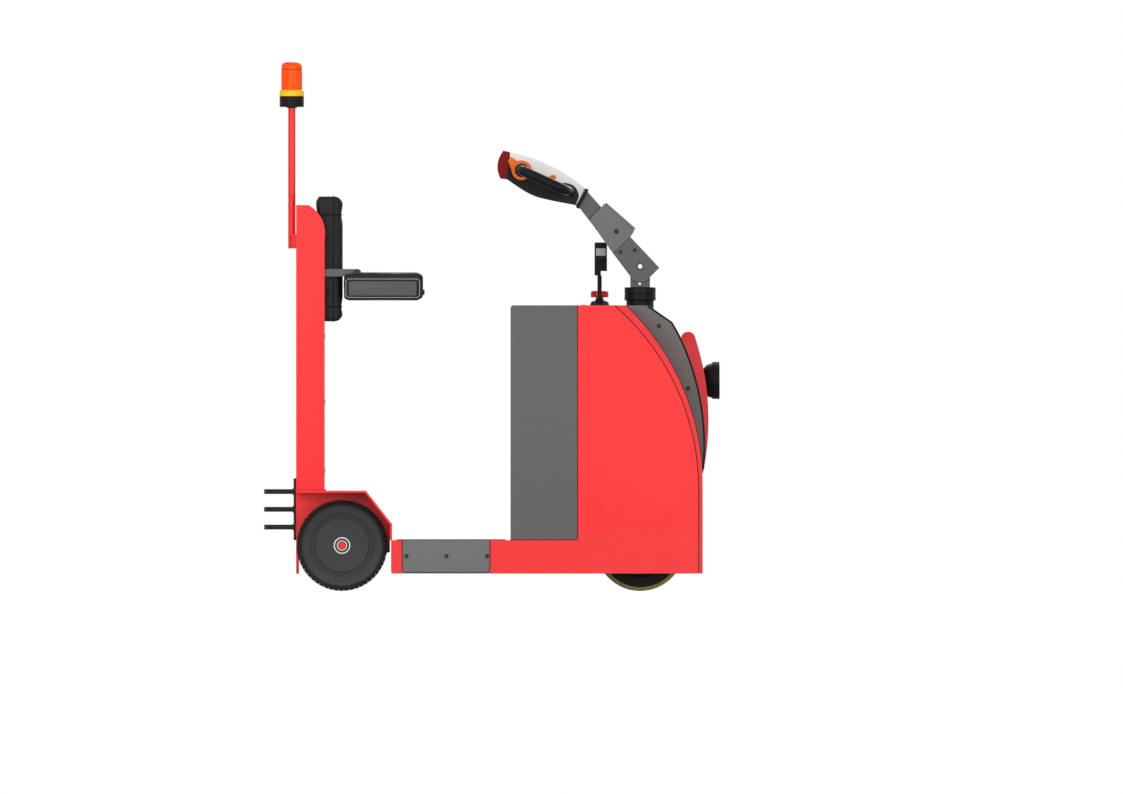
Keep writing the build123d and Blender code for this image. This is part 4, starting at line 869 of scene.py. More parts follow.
@dataclass
class Studio:
    """Camera, lights, world and floor."""

    camera_distance: float = 4.0
    floor_size: float = 60.0
    world_strength: float = 0.5

    def build(self) -> None:
        """Sets up the whole studio."""
        bpy.context.scene.view_settings.view_transform = "Standard"
        self._camera()
        self._world()
        self._lamps()
        self._floor()

    def _camera(self) -> None:
        """Side elevation with the photograph's frame."""
        data = bpy.data.cameras.new("side view")
        data.type = "ORTHO"
        data.ortho_scale = PHOTO_WIDTH_PX * METRES_PER_PX
        data.clip_end = 100.0
        camera = bpy.data.objects.new("side view", data)
        camera.location = (PHOTO_CENTRE_X, -self.camera_distance, PHOTO_CENTRE_Z)
        camera.rotation_euler = (math.pi / 2, 0.0, 0.0)
        bpy.context.scene.collection.objects.link(camera)
        bpy.context.scene.camera = camera

    def _world(self) -> None:
        """Soft world light, plain white to the camera, in reflections and through glass."""
        world = bpy.data.worlds.new("studio")
        bpy.context.scene.world = world
        world.use_nodes = True
        tree = world.node_tree
        tree.nodes.clear()
        white = (1.0, 1.0, 1.0, 1.0)
        soft = add_node(tree, "Background", {"Color": white, "Strength": self.world_strength})
        plain = add_node(tree, "Background", {"Color": white, "Strength": 1.0})
        path = add_node(tree, "LightPath")
        rays = {0: path["Is Camera Ray"], 1: path["Is Transmission Ray"]}
        seen = add_node(tree, "Math", rays, operation="MAXIMUM")
        rays = {0: seen[0], 1: path["Is Glossy Ray"]}
        through = add_node(tree, "Math", rays, operation="MAXIMUM")
        mix = add_node(tree, "MixShader", {0: through[0], 1: soft[0], 2: plain[0]})
        add_node(tree, "OutputWorld", {"Surface": mix[0]})

    def _lamp(self, name: str, place: Point, target: Point, size: float, power: float) -> None:
        """Adds one area lamp.

        Args:
            name: Name of the lamp.
            place: Where it hangs.
            target: Point that it faces.
            size: Side of its square.
            power: Watts.
        """
        data = bpy.data.lights.new(name, "AREA")
        data.size = size
        data.energy = power
        lamp = bpy.data.objects.new(name, data)
        lamp.location = place
        aim = Vector(target) - Vector(place)
        lamp.rotation_euler = aim.to_track_quat("-Z", "Y").to_euler()
        bpy.context.scene.collection.objects.link(lamp)

    def _lamps(self) -> None:
        """Key, fill and back lamps."""
        middle = (0.0, 0.0, 0.6)
        self._lamp("key", (-2.0, -4.8, 2.0), middle, 3.0, 104.0)
        self._lamp("fill", (2.2, -4.8, 0.45), middle, 2.4, 86.0)
        self._lamp("back", (1.0, 4.2, 3.2), middle, 3.0, 90.0)

    def _floor(self) -> None:
        """Plain pale floor."""
        select_none()
        bpy.ops.mesh.primitive_plane_add(size=self.floor_size)
        floor = bpy.context.active_object
        floor.name = "studio_floor"
        made = bpy.data.materials.new("pale floor")
        made.use_nodes = True
        shader = made.node_tree.nodes["Principled BSDF"]
        shader.inputs["Base Color"].default_value = (0.8, 0.8, 0.8, 1.0)
        shader.inputs["Roughness"].default_value = 0.7
        floor.data.materials.append(made)


@dataclass
class Assembly:
    """Sub-assembly that models its pieces and lets them ride on a body."""

    wardrobe: Wardrobe

    def mount(
        self, parts: Sequence[Piece], name: str, finish: Finish, body: str = "chassis"
    ) -> Piece:
        """Joins parts into one dressed piece that rides on a body.

        Args:
            parts: Parts of the piece, at least one.
            name: Name of the piece.
            finish: Finish for all its faces.
            body: Body that it moves with.

        Returns:
            The piece.
        """
        return self.wardrobe.mount(joined(parts, name), finish, body)


@dataclass
class Cushion(Assembly):
    """Soft block that is swelled by a cloth simulation."""

    name: str
    node: str
    body: str
    finish: Finish
    rounding: float
    hem: float = 0.005
    voxel: float = 0.005
    cap: float = 0.004
    fill: float = 0.8
    shrink: float = 0.0012
    pressure: float = 4.0
    frames: int = 20
    channels: tuple[float, ...] = ()
    channel_reach: float = 0.025
    seam_x: Optional[float] = None
    seam_reach: float = 0.012
    pockets: tuple[tuple[Point, Point], ...] = ()

    def build(self) -> None:
        """Models, swells and dresses the cushion."""
        low, high = (Vector(corner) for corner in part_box(self.node))
        select_none()
        bpy.ops.mesh.primitive_cube_add(size=1.0, location=(low + high) / 2)
        pad = bpy.context.active_object
        pad.scale = [edge - 2 * self.shrink for edge in high - low]
        settle(pad)
        front = high.x - 0.02
        bevelled(pad, "EDGE", lambda edge: all(v.co.x > front for v in edge.verts), self.rounding, 5)
        soften(pad, self.hem, 3, 60.0)
        self._cut_pockets(pad)
        remesh = pad.modifiers.new("even mesh", "REMESH")
        remesh.mode = "VOXEL"
        remesh.voxel_size = self.voxel
        apply_modifiers(pad)
        self._swell(pad)
        smooth = pad.modifiers.new("smooth", "SMOOTH")
        smooth.factor = 0.4
        smooth.iterations = 2
        divide = pad.modifiers.new("divide", "SUBSURF")
        divide.levels = divide.render_levels = 1
        apply_modifiers(pad)
        shade(pad, 60.0)
        self.mount([pad], self.name, self.finish, self.body)
        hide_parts(self.node)

    def _cut_pockets(self, pad: Piece) -> None:
        """Cuts the pockets that the arms run in.

        Args:
            pad: Block to cut.
        """
        for low, high in self.pockets:
            tool = block(low, high)
            cut = pad.modifiers.new("pocket", "BOOLEAN")
            cut.operation = "DIFFERENCE"
            cut.solver = "EXACT"
            cut.object = tool
            apply_modifiers(pad)
            removed(tool)

    def _swell(self, pad: Piece) -> None:
        """Blows the pad up as cloth and caps how far each point moves.

        Args:
            pad: Evenly meshed pad.
        """
        rest = [vertex.co.copy() for vertex in pad.data.vertices]
        cloth = pad.modifiers.new("cover", "CLOTH")
        cloth.settings.use_pressure = True
        cloth.settings.uniform_pressure_force = self.pressure
        cloth.settings.effector_weights.gravity = 0.0
        cloth.settings.quality = 4
        cloth.point_cache.frame_start = 1
        cloth.point_cache.frame_end = self.frames
        scene = bpy.context.scene
        for frame in range(1, self.frames + 1):
            scene.frame_set(frame)
        swollen = pad.evaluated_get(bpy.context.evaluated_depsgraph_get()).data
        moved = [vertex.co.copy() for vertex in swollen.vertices]
        pad.modifiers.remove(cloth)
        scene.frame_set(1)
        outwards = [vertex.normal.copy() for vertex in pad.data.vertices]
        for vertex, start, end, normal in zip(pad.data.vertices, rest, moved, outwards):
            swell = min(max((end - start).dot(normal), 0.0), self.cap)
            vertex.co = start + normal * swell * self._pinch(start)

    def _pinch(self, place: Vector) -> float:
        """Share of the swelling that the sewn lines leave at a point.

        Args:
            place: Point of the pad's cover.

        Returns:
            0 on a sewn line, up to 1 away from all of them.
        """
        shares = [1.0] + [abs(place.z - level) / self.channel_reach for level in self.channels]
        if self.seam_x is not None:
            shares.append(abs(place.x - self.seam_x) / self.seam_reach)
        return min(shares)


@dataclass
class Fasteners(Assembly):
    """Equal screws or bolts, each set on a surface."""

    name: str
    body: str
    radius: float
    places: Sequence[Point]
    direction: Across
    sign: float = 1.0
    finish: Finish = DARK_STEEL

    def set_out(self, pattern: Piece) -> None:
        """Turns a fastener to its surface and puts a copy at each place.

        Args:
            pattern: Fastener that stands upright at the origin.
        """
        pattern.rotation_euler = turn_to(self.direction, self.sign)
        settle(pattern)
        copies = spread(pattern, [Matrix.Translation(place) for place in self.places])
        self.mount(copies, self.name, self.finish, self.body)


@dataclass
class Screws(Fasteners):
    """Socket screws of one size."""

    head: float = 0.004

    def build(self) -> None:
        """Models one screw head and sets it out."""
        screw = cylinder(self.radius, self.head, (0.0, 0.0, 0.0), Across.Z, 28)
        bevelled(screw, "FACE", lambda face: face.normal.z > 0.9, self.radius * 0.14, 2)
        bpy.ops.object.mode_set(mode="EDIT")
        choose(screw, "FACE", lambda face: face.normal.z > 0.99)
        bpy.ops.mesh.inset(thickness=self.radius * 0.36)
        bpy.ops.mesh.inset(thickness=self.radius * 0.04)
        bpy.ops.transform.translate(value=(0.0, 0.0, -self.head * 0.55))
        bpy.ops.object.mode_set(mode="OBJECT")
        screw.location.z = self.head / 2 - 0.0004
        settle(screw)
        shade(screw, 30.0)
        self.set_out(screw)


@dataclass
class Bolts(Fasteners):
    """Hexagon bolts of one size, each on its washer."""

    def build(self) -> None:
        """Models one bolt and sets it out."""
        washer = cylinder(self.radius * 1.35, 0.0016, (0.0, 0.0, 0.0006), Across.Z, 32)
        soften(washer, 0.0004, 2)
        head = cylinder(self.radius, 0.0055, (0.0, 0.0, 0.004), Across.Z, 6)
        bevelled(head, "FACE", lambda face: face.normal.z > 0.9, self.radius * 0.16, 2)
        shade(head, 25.0)
        self.set_out(joined([washer, head], "bolt"))


@dataclass
class RearWheels(Assembly):
    """Treaded tyres in place of the plain ones, and the hub's bearing rings.

    The wall profile is a width inwards and a depth for each step from the shoulder to the rim.
    """

    axle_x: float = -0.4118
    radius: float = 0.125
    middle_y: float = 0.305
    width: float = 0.080
    shoulder: float = 0.110
    wall_profile: tuple[tuple[float, float], ...] = (
        (0.0006, 0.0), (0.0022, 0.0016), (0.0166, 0.0), (0.0028, 0.0022), (0.0038, 0.0006),
    )
    lug_height: float = 0.0042
    lug_count: int = 54
    lug_share: float = 0.68
    lug_inset: float = 0.0045
    hub_inset: float = 0.0045

    def build(self) -> None:
        """Models both wheels."""
        for side, sign in NAMED_SIDES:
            body = f"rear_wheel_{side}"
            centre = (self.axle_x, sign * self.middle_y, self.radius)
            parts = [self._carcass(centre), *self._lugs(centre)]
            treaded = self.mount(parts, f"treaded_tyre_{side}", TYRE_BLACK, body)
            # the walls get the paler copy of the rubber as painted light
            self.wardrobe.patch(treaded, LIT_SIDEWALL, self._on_wall)
            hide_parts(f"rear_tyre_{side}")
            face_y = sign * (self.middle_y + self.width / 2 - self.hub_inset)
            hub = (self.axle_x, face_y, self.radius)
            rings = [ring(0.0213, 0.0019, hub, Across.Y, 0.8), ring(0.0126, 0.0016, hub, Across.Y, 0.9)]
            self.mount(rings, f"bearing_rings_{side}", PALE_MOULD, body)

    def _on_wall(self, face: bpy.types.MeshPolygon) -> bool:
        """Tells whether a face belongs to a tyre's wall.

        Args:
            face: Face of the treaded tyre.

        Returns:
            True near a wall's plane and inside the shoulder.
        """
        outwards = math.hypot(face.center.x - self.axle_x, face.center.z - self.radius)
        return abs(face.center.y) > self.middle_y + self.width / 2 - 0.008 and outwards < self.shoulder

    def _carcass(self, centre: Point) -> Piece:
        """Tyre body with rounded shoulders and a rib on each wall.

        Args:
            centre: Centre of the wheel.

        Returns:
            The body without its lugs.
        """
        crown = self.radius - self.lug_height
        tyre = cylinder(crown, self.width, centre, Across.Y, 128)
        bpy.ops.object.mode_set(mode="EDIT")
        choose(tyre, "FACE", lambda face: abs(face.normal.y) > 0.9)
        bpy.ops.mesh.bevel(offset=crown - self.shoulder, segments=6, profile=0.55, affect="EDGES")
        choose(tyre, "FACE", lambda face: abs(face.normal.y) > 0.99 and len(face.verts) > 8)
        for width, depth in self.wall_profile:
            bpy.ops.mesh.inset(thickness=width)
            if depth:
                self._sink(tyre, centre[1], depth)
        bpy.ops.mesh.delete(type="FACE")
        bpy.ops.mesh.select_mode(type="EDGE")
        bpy.ops.mesh.select_all(action="SELECT")
        bpy.ops.mesh.region_to_loop()
        bpy.ops.mesh.bridge_edge_loops()
        bpy.ops.mesh.select_all(action="SELECT")
        bpy.ops.mesh.normals_make_consistent(inside=False)
        bpy.ops.object.mode_set(mode="OBJECT")
        shade(tyre, 38.0)
        return tyre

    @staticmethod
    def _sink(tyre: Piece, middle_y: float, depth: float) -> None:
        """Moves the chosen wall faces towards the tyre's middle.

        Args:
            tyre: Tyre in edit mode.
            middle_y: Middle of the tyre.
            depth: Distance to move.
        """
        mesh = bmesh.from_edit_mesh(tyre.data)
        for vertex in {vertex for face in mesh.faces if face.select for vertex in face.verts}:
            vertex.co.y -= math.copysign(depth, vertex.co.y - middle_y)
        bmesh.update_edit_mesh(tyre.data)

    def _lugs(self, centre: Point) -> list[Piece]:
        """Two staggered rows of tread blocks that wrap over the shoulders.

        Args:
            centre: Centre of the wheel.

        Returns:
            All the blocks.
        """
        x, y, z = centre
        half = self.lug_share * math.pi * self.radius / self.lug_count
        crest = z + self.radius
        blocks = []
        for sign, start in ((1.0, 0.0), (-1.0, math.pi / (2 * self.lug_count))):
            end_y = y + sign * (self.width / 2 - self.lug_inset)
            near, far = sorted((y + sign * 0.002, end_y))
            lug = block((x - half, near, crest - 2.2 * self.lug_height), (x + half, far, crest - 0.0002))
            bevelled(lug, "EDGE", lambda edge: all(
                vertex.co.z > crest - 0.001 and abs(vertex.co.y - end_y) < 0.001 for vertex in edge.verts
            ), 0.006, 2)
            shade(lug, 30.0)
            blocks += spread(lug, turns(self.lug_count, centre, Across.Y, start))
        return blocks


@dataclass
class BackPad(Assembly):
    """Back pad with its piping, sewn lines and the bosses on its sides."""

    cord: float = 0.0018
    bend: float = 0.015
    loop_bend: float = 0.008
    channels: tuple[float, ...] = (0.782, 1.035)
    seam_back: float = 0.0225
    boss_x: float = -0.4525
    boss_z: float = 0.821
    boss_radius: float = 0.008

    def build(self) -> None:
        """Models the swollen pad with its piping and bosses."""
        low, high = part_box("backrest_pad")
        seam_x, half = high[0] - self.seam_back, high[1]
        Cushion(
            self.wardrobe, "back_pad", "backrest_pad", "chassis", PAD_BLACK, self.bend,
            channels=self.channels, seam_x=seam_x,
        ).build()
        inset = self.cord * 0.6
        bottom, top, side = low[2] + inset, high[2] - inset, half - inset
        outline = ((-side, bottom), (side, bottom), (side, top), (-side, top))
        piping = [welt([(seam_x, y, z) for y, z in outline], self.loop_bend, self.cord)]
        for level in self.channels:
            piping.append(beading(self._round(low[0] + 0.004, high[0], half, level), self.cord))
        self.mount(piping, "back_pad_piping", BLACK_MOULD)
        bosses = []
        for sign in SIDES:
            place = (self.boss_x, sign * (half + 0.0028), self.boss_z)
            bosses.append(cylinder(self.boss_radius, 0.005, place, Across.Y))
            soften(bosses[-1], 0.0014)
        self.mount(bosses, "back_pad_bosses", BLACK_MOULD)

    def _round(self, rear: float, front: float, half: float, level: float) -> list[Point]:
        """Level run round the pad's sides and front.

        Args:
            rear: Place where the run starts and ends.
            front: Place of the pad's front face.
            half: Half the pad's width.
            level: Height of the run.

        Returns:
            The points of the run.
        """
        reach = self.bend + 0.0002
        angles = [math.pi / 2 * step / 6 for step in range(7)]
        x, y = front - self.bend, half - self.bend
        corner = [(x + reach * math.sin(angle), y + reach * math.cos(angle)) for angle in angles]
        right = [(x, -y, level) for x, y in corner]
        left = [(x, y, level) for x, y in reversed(corner)]
        return [(rear, right[0][1], level), *right, *left, (rear, left[-1][1], level)]


@dataclass
class FoldSeat(Assembly):
    """Swollen seat pad with a raised panel and piping on each side, and its latch; the panel's paler tone is
    painted light and the piping's pale tone a painted highlight.
    """

    pocket_sides: tuple[float, float] = (0.1878, 0.2122)
    pocket_floor: float = 0.8535
    pocket_front: float = -0.3448
    panel_proud: float = 0.0034
    cord: float = 0.0012
    cord_bend: float = 0.009
    latch: tuple[Point, Point] = ((-0.003, -0.035, 0.814), (0.003, 0.035, 0.829))

    def build(self) -> None:
        """Models the seat."""
        low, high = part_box("seat_cushion")
        pockets = []
        for sign in SIDES:
            near, far = sorted(sign * side for side in self.pocket_sides)
            rear, over = low[0] - 0.02, high[2] + 0.02
            pockets.append(((rear, near, self.pocket_floor), (self.pocket_front, far, over)))
        Cushion(
            self.wardrobe, "seat_pad", "seat_cushion", "seat", SEAT_GREY, 0.012,
            hem=0.006, cap=0.003, pockets=tuple(pockets),
        ).build()
        half = high[1]
        rear, front = low[0] + 0.0065, high[0] - 0.0105
        bottom, top = low[2] + 0.0065, high[2] - 0.0168
        outline = ((rear, bottom), (front, bottom), (front, top), (rear, top))
        panels, edges = [], []
        for sign in SIDES:
            near, far = sorted((sign * (half - 0.004), sign * (half + self.panel_proud)))
            start, end = (low[0] + 0.014, near, low[2] + 0.011), (high[0] - 0.019, far, high[2] - 0.0225)
            panels.append(block(start, end))
            soften(panels[-1], 0.002)
            edges.append(welt(both_sides(outline, half + 0.0022, sign), self.cord_bend, self.cord))
        # side panels carry painted light, piping a painted highlight
        self.mount(panels, "seat_side_panels", LIT_SEAT_PANEL, "seat")
        self.mount(edges, "seat_piping", SEAT_PIPING_HIGHLIGHT, "seat")
        latch = block(*((high[0] + x, y, z) for x, y, z in self.latch))
        soften(latch, 0.002)
        self.mount([latch], "seat_latch", BLACK_MOULD, "seat")


@dataclass
class Headlamp(Assembly):
    """Knurled rim, bezel, reflector and bulb of the headlamp."""

    centre: Point = (0.6062, 0.0, 0.579)
    rim: float = 0.050
    depth: float = 0.0195
    ribs: int = 44
    half_rib: float = 0.0011
    bulb: float = 0.006

    def build(self) -> None:
        """Models the lamp's trim."""
        x, y, z = self.centre
        low = (x + 0.0006, y - self.half_rib, z + self.rim - 0.0014)
        rib = block(low, (x + self.depth, y + self.half_rib, z + self.rim + 0.0009))
        soften(rib, 0.0006, 2)
        self.mount(spread(rib, turns(self.ribs, self.centre, Across.X)), "lamp_rim_ribs", BLACK_MOULD)
        bezel = ring(self.rim - 0.0036, 0.0021, (x + 0.0198, y, z), Across.X, 0.6)
        self.mount([bezel], "lamp_bezel", BARE_STEEL)
        select_none()
        bpy.ops.mesh.primitive_cone_add(
            vertices=64, radius1=0.0125, radius2=self.rim - 0.0062, depth=0.0205, end_fill_type="NOTHING",
            location=(x - 0.0008, y, z), rotation=turn_to(Across.X),
        )
        bowl = bpy.context.active_object
        settle(bowl)
        wall = bowl.modifiers.new("wall", "SOLIDIFY")
        wall.thickness = 0.0006
        wall.offset = 0.0
        apply_modifiers(bowl)
        shade(bowl, 40.0)
        self.mount([bowl], "lamp_reflector", BARE_STEEL)
        bulb = cylinder(self.bulb, 2 * self.bulb, (x - self.bulb, y, z), Across.X)
        bevelled(bulb, "FACE", lambda face: face.normal.x > 0.9, 0.75 * self.bulb, 5)
        shade(bulb, 60.0)
        self.mount([bulb], "lamp_bulb", PALE_MOULD)


@dataclass
class Beacon(Assembly):
    """Flutes and dark band of the beacon's lens, and the grommet on its pole."""

    centre: Point = (-0.550, 0.0, 1.378)
    radius: float = 0.0285
    flutes: int = 30
    band_z: float = 1.4348
    grommet_z: float = 1.3305

    def build(self) -> None:
        """Models the beacon's trim."""
        x, y, z = self.centre
        flute = cylinder(0.0013, 0.050, (x + self.radius - 0.0009, y, z + 0.0265), Across.Z, 10)
        soften(flute, 0.0005, 2)
        flutes = spread(flute, turns(self.flutes, self.centre, Across.Z))
        self.mount(flutes, "beacon_flutes", LENS_ORANGE)
        band = ring(self.radius + 0.0004, 0.0012, (x, y, self.band_z), Across.Z, 0.7)
        self.mount([band], "beacon_band", BEACON_BAND)
        grommet = ring(0.0118, 0.003, (x, y, self.grommet_z), Across.Z, 0.8)
        self.mount([grommet], "pole_grommet", BLACK_MOULD)


@dataclass
class Deck(Assembly):
    """Ribs of the standing deck's rubber mat."""

    top: float = 0.140
    rear_x: float = -0.262
    front_x: float = 0.038
    half: float = 0.318
    pitch: float = 0.020
    half_rib: float = 0.0035

    def build(self) -> None:
        """Models the mat's ribs."""
        low = (self.rear_x, -self.half_rib, self.top - 0.001)
        rib = block(low, (self.front_x, self.half_rib, self.top + 0.0022))
        soften(rib, 0.0012, 2)
        count = int(2 * self.half / self.pitch) + 1
        first = -self.pitch * (count - 1) / 2
        moves = [Matrix.Translation((0.0, first + self.pitch * step, 0.0)) for step in range(count)]
        self.mount(spread(rib, moves), "deck_mat_ribs", DECK_RUBBER)


@dataclass
class HandLever(Assembly):
    """Ridges, band with painted highlight and foot rings of the hand lever, and the stop switch's collar."""

    x: float = 0.2998
    y: float = 0.110
    half_x: float = 0.0132
    half_y: float = 0.012
    band: tuple[float, float] = (0.9215, 0.9425)
    ridge: tuple[float, float] = (0.8835, 0.8865)
    ridge_pitch: float = 0.0065
    ridges: int = 5
    foot: Point = (0.2965, 0.110, 0.7965)
    switch: Point = (0.2965, 0.190, 0.7955)

    def build(self) -> None:
        """Models the trim of the lever and the switch."""
        # band in a pale tone that is a painted highlight
        self.mount([self._sleeve(0.0007, self.band, 0.0006)], "lever_band", LEVER_HIGHLIGHT_BAND)
        moves = [Matrix.Translation((0.0, 0.0, self.ridge_pitch * step)) for step in range(self.ridges)]
        ridges = spread(self._sleeve(0.0012, self.ridge, 0.001), moves)
        self.mount(ridges, "lever_ridges", BLACK_MOULD)
        x, y, z = self.foot
        folds = [
            ring(0.0125 - 0.0022 * step, 0.0026, (x, y, z + 0.0036 * step), Across.Z, 0.8)
            for step in range(3)
        ]
        self.mount(folds, "lever_boot", BLACK_MOULD)
        collar = ring(0.0195, 0.0022, self.switch, Across.Z, 0.9)
        self.mount([collar], "stop_switch_collar", BLACK_MOULD)

    def _sleeve(self, proud: float, heights: tuple[float, float], rounding: float) -> Piece:
        """Block round the lever between two heights.

        Args:
            proud: How far it stands out of the lever's sides.
            heights: Its lower and upper face.
            rounding: Width of its rounded edges.

        Returns:
            The block.
        """
        half_y = self.half_y + proud
        low = (self.x - self.half_x, self.y - half_y, heights[0])
        made = block(low, (self.x + self.half_x, self.y + half_y, heights[1]))
        soften(made, rounding, 2)
        return made


@dataclass
class TillerTrim(Assembly):
    """Flange gasket, thumb hubs and pivot rims of the tiller, and the collar's lips."""

    pivot: Point = (0.408, 0.0, 0.8924)
    pivot_half: float = 0.0442
    flange: tuple[Point, Point] = ((0.2345, 0.0, 1.0555), (0.2605, 0.0, 1.1045))
    hub: tuple[float, float] = (0.082, 1.157)
    hub_half: float = 0.0552
    lip_levels: tuple[float, ...] = (0.8028, 0.8190)

    def build(self) -> None:
        """Models the tiller's trim."""
        low, high = (Vector(end) for end in self.flange)
        along = (high - low).normalized()
        gasket = block((-0.0058, -0.0418, -0.0295), (0.0022, 0.0418, 0.0295))
        soften(gasket, 0.0012, 3)
        gasket.rotation_euler = (0.0, math.atan2(along.x, along.z), 0.0)
        gasket.location = (low + high) / 2 + Vector((0.0035, 0.0, -0.0015))
        settle(gasket)
        self.mount([gasket], "head_gasket", BLACK_MOULD, "tiller")
        x, z = self.hub
        hubs = [ring(0.0158, 0.0026, (x, sign * self.hub_half, z), Across.Y, 0.8) for sign in SIDES]
        self.mount(hubs, "thumb_switch_hubs", BLACK_MOULD, "tiller")
        x, y, z = self.pivot
        rims = [ring(0.0078, 0.0014, (x, sign * self.pivot_half, z), Across.Y, 0.9) for sign in SIDES]
        self.mount(rims, "pivot_rims", DARK_STEEL, "tiller")
        lips = [ring(0.0415, 0.0016, (x, y, level), Across.Z, 0.9) for level in self.lip_levels]
        self.mount(lips, "collar_lips", BLACK_MOULD, "steering")


@dataclass
class Seams(Assembly):
    """Dark joint lines between the housing's panels, and the welds of the tower and hitch."""

    line: float = 0.0022
    joint_x: float = 0.2352
    joint_sides: tuple[float, float] = (0.3445, 0.3466)
    tower_welds: tuple[tuple[Point, Point], ...] = (
        ((-0.5365, -0.2112, 0.2775), (-0.4594, -0.2112, 0.2775)),
        ((-0.5365, 0.2112, 0.2775), (-0.4594, 0.2112, 0.2775)),
        ((-0.4582, -0.2112, 0.2775), (-0.4582, 0.2112, 0.2775)),
    )
    tongue_levels: tuple[float, ...] = (0.1758, 0.2246, 0.2734)
    tongue_reach: float = 0.0078

    def build(self) -> None:
        """Models the joint lines and welds."""
        x, line = self.joint_x, self.line
        strips = []
        for sign in SIDES:
            near, far = sorted(sign * side for side in self.joint_sides)
            strips.append(block((x, near, 0.1415), (x + line, far, 0.7852)))
            strips.append(block((0.0520, near, 0.1395), (x, far, 0.1395 + line)))
        strips.append(block((x, -0.3440, 0.7845), (x + line, 0.3440, 0.7862)))
        for strip in strips:
            soften(strip, 0.0003, 1)
        self.mount(strips, "panel_gaskets", BLACK_MOULD)
        drops = [drop for start, end in self.tower_welds for drop in self._bead(start, end, 0.0032)]
        self.mount(drops, "tower_foot_weld", SHELL_RED)
        drops = []
        for level in self.tongue_levels:
            for sign in SIDES:
                z = level + sign * self.tongue_reach
                drops += self._bead((-0.5462, -0.036, z), (-0.5462, 0.036, z), 0.0018)
        self.mount(drops, "hitch_welds", BLACK_STEEL)

    @staticmethod
    def _bead(start: Point, end: Point, radius: float) -> list[Piece]:
        """Rippled weld bead along a straight run.

        Args:
            start: First point.
            end: Last point.
            radius: Radius of the bead.

        Returns:
            The drops that it is made of.
        """
        first, run = Vector(start), Vector(end) - Vector(start)
        count = max(3, int(run.length / (radius * 1.1)))
        select_none()
        bpy.ops.mesh.primitive_uv_sphere_add(segments=10, ring_count=6, radius=radius)
        drop = bpy.context.active_object
        drop.scale = (1.0, 1.0, 0.8)
        settle(drop)
        shade(drop, 70.0)
        return spread(drop, [Matrix.Translation(first + run * (step / count)) for step in range(count + 1)])


@dataclass(frozen=True)
class Sweep:
    """Arc of the housing's front in one upright plane."""

    centre_x: float
    centre_z: float
    radius: float

    def points(self, y: float, low: float, high: float, steps: int = 28) -> list[Point]:
        """Evenly spaced points from one height to another.

        Args:
            y: Place of the plane.
            low: Height of the first point.
            high: Height of the last point.
            steps: Number of stretches between them.

        Returns:
            The points, from the lowest up.
        """
        start = math.asin((low - self.centre_z) / self.radius)
        end = math.asin((high - self.centre_z) / self.radius)
        angles = [start + (end - start) * step / steps for step in range(steps + 1)]
        return [
            (self.centre_x + self.radius * math.cos(angle), y, self.centre_z + self.radius * math.sin(angle))
            for angle in angles
        ]


@dataclass
class HousingBeads(Assembly):
    """Rubber beads along the plates' curved edges, the column cover and the kick plates."""

    plate: Sweep = Sweep(-0.0976, 0.280, 0.6668)
    shell: Sweep = Sweep(-0.1051, 0.290, 0.6858)
    cover: Sweep = Sweep(-0.1040, 0.400, 0.6884)
    plate_half: float = 0.3462
    shell_half: float = 0.1908
    cover_half: float = 0.1886
    kick_half: float = 0.3500
    top: float = 0.7855
    bottom: float = 0.0512
    seam: float = 0.0011
    lip: float = 0.0030
    kick_edge: float = 0.0009
    kick_outline: tuple[tuple[float, float], ...] = (
        (-0.2455, 0.1385), (-0.2455, 0.0610), (-0.2424, 0.0540), (-0.2355, 0.0510),
        (-0.0155, 0.0510), (-0.0086, 0.0540), (-0.0055, 0.0610), (-0.0055, 0.1385),
    )

    def build(self) -> None:
        """Models the beads on both sides."""
        seams, lips, edges = [], [], []
        for sign in SIDES:
            rim = self.plate.points(sign * self.plate_half, self.plate.centre_z, self.top)
            seams.append(beading([(rim[0][0], rim[0][1], self.bottom), *rim], self.seam))
            seams.append(beading(self.shell.points(sign * self.shell_half, 0.330, self.top), self.seam))
            y = sign * self.cover_half
            front = self.cover.points(y, 0.336, 0.711)
            lips.append(beading([*front, (0.4948, y, 0.7378), (0.4285, y, 0.7838)], self.lip))
            edges.append(beading(both_sides(self.kick_outline, self.kick_half, sign), self.kick_edge))
        self.mount(seams, "shell_seam_beads", BLACK_MOULD)
        self.mount(lips, "column_cover_lips", BLACK_MOULD)
        self.mount(edges, "kick_plate_edges", BLACK_MOULD)


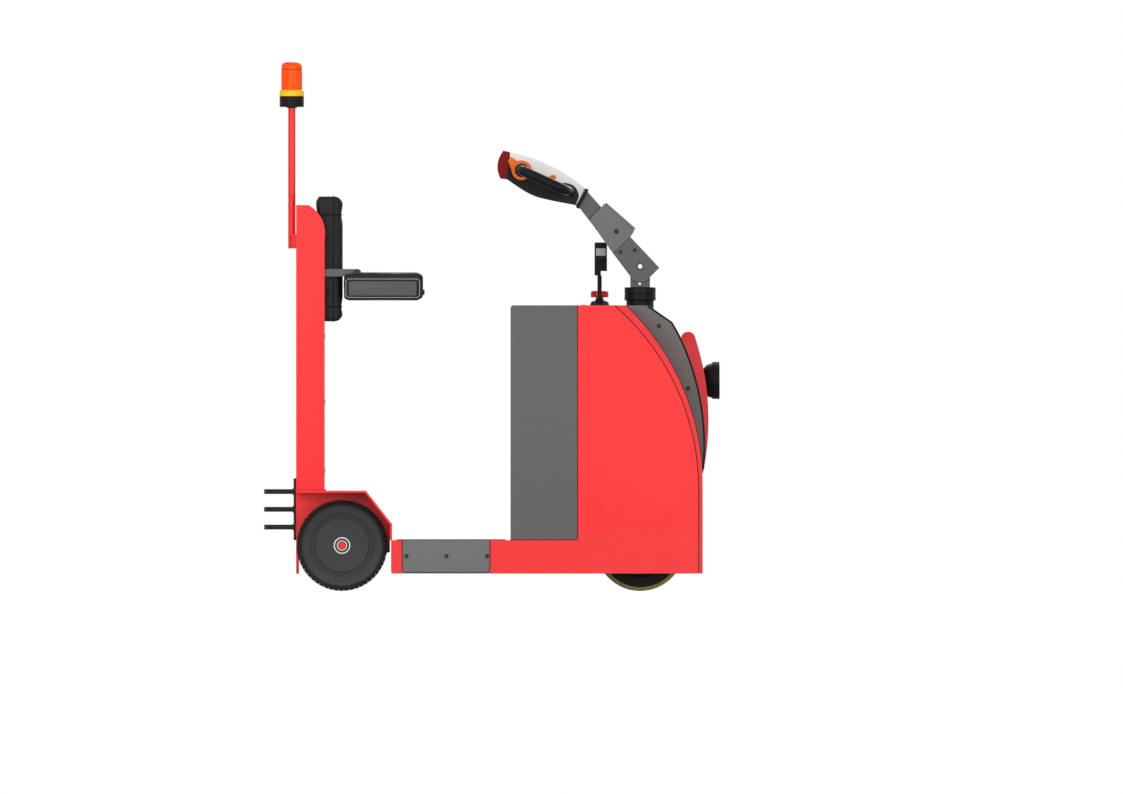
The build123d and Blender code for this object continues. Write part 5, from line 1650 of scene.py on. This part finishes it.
class Tug:
    """The whole dressed machine."""

    def __init__(self, frame: dict) -> None:
        """Keeps the frame and makes the wardrobe.
        """
        self.frame = frame
        self.wardrobe = Wardrobe()

    def dress_nodes(self) -> None:
        """Gives every CAD node its finish."""
        for name, node in self.frame["nodes"].items():
            self.wardrobe.dress(node, NODE_FINISH[name])
            LOG.info("dressed %s", name)

    def sub_assemblies(self) -> None:
        """Wheels, pads, lamp, beacon, deck, controls, joint lines and beads."""
        for kind in (
            RearWheels, BackPad, FoldSeat, Headlamp, Beacon, Deck, HandLever, TillerTrim, Seams,
            HousingBeads,
        ):
            kind(self.wardrobe).build()

    def fasteners(self) -> None:
        """Screws and bolts on both sides, the hood and the tower."""
        screws = (
            ("kick_screws", "chassis", 0.0055, [(x, 0.096) for x in (-0.2344, -0.1244, -0.0131)], 0.350),
            ("cover_screws", "chassis", 0.0055, [(0.460, 0.729), (0.540, 0.557)], 0.190),
            ("tiller_screws", "tiller", 0.005, [(0.354, 0.932), (0.3925, 0.9375)], 0.042),
            ("lid_screws", "tiller", 0.0065, [(0.343, 0.989)], 0.047),
        )
        for side, sign in NAMED_SIDES:
            for name, body, radius, places, half in screws:
                spots = both_sides(places, half, sign)
                Screws(self.wardrobe, f"{name}_{side}", body, radius, spots, Across.Y, sign).build()
        hood = [(0.252, y, 0.7857) for y in (-0.325, -0.12, 0.06, 0.325)]
        panel = [(-0.4594, sign * 0.185, z) for sign in SIDES for z in (0.33, 0.52, 0.70)]
        for name, spots, direction in (
            ("hood_screws", hood, Across.Z), ("tower_panel_screws", panel, Across.X),
        ):
            Screws(self.wardrobe, name, "chassis", 0.006, spots, direction, head=0.0016).build()
        for side, sign in NAMED_SIDES:
            spots = [(-0.5560, sign * 0.014, z) for z in (0.951, 0.973)]
            name = f"pole_clamp_bolts_{side}"
            Bolts(self.wardrobe, name, "chassis", 0.003, spots, Across.Y, sign, SHEET_RED).build()


def main() -> None:
    """Builds the studio and dresses the machine."""
    logging.basicConfig(level=logging.INFO, format="%(name)s: %(message)s")
    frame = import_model()
    Studio().build()
    tug = Tug(frame)
    tug.dress_nodes()
    tug.sub_assemblies()
    tug.fasteners()


if __name__ == "__main__":
    main()
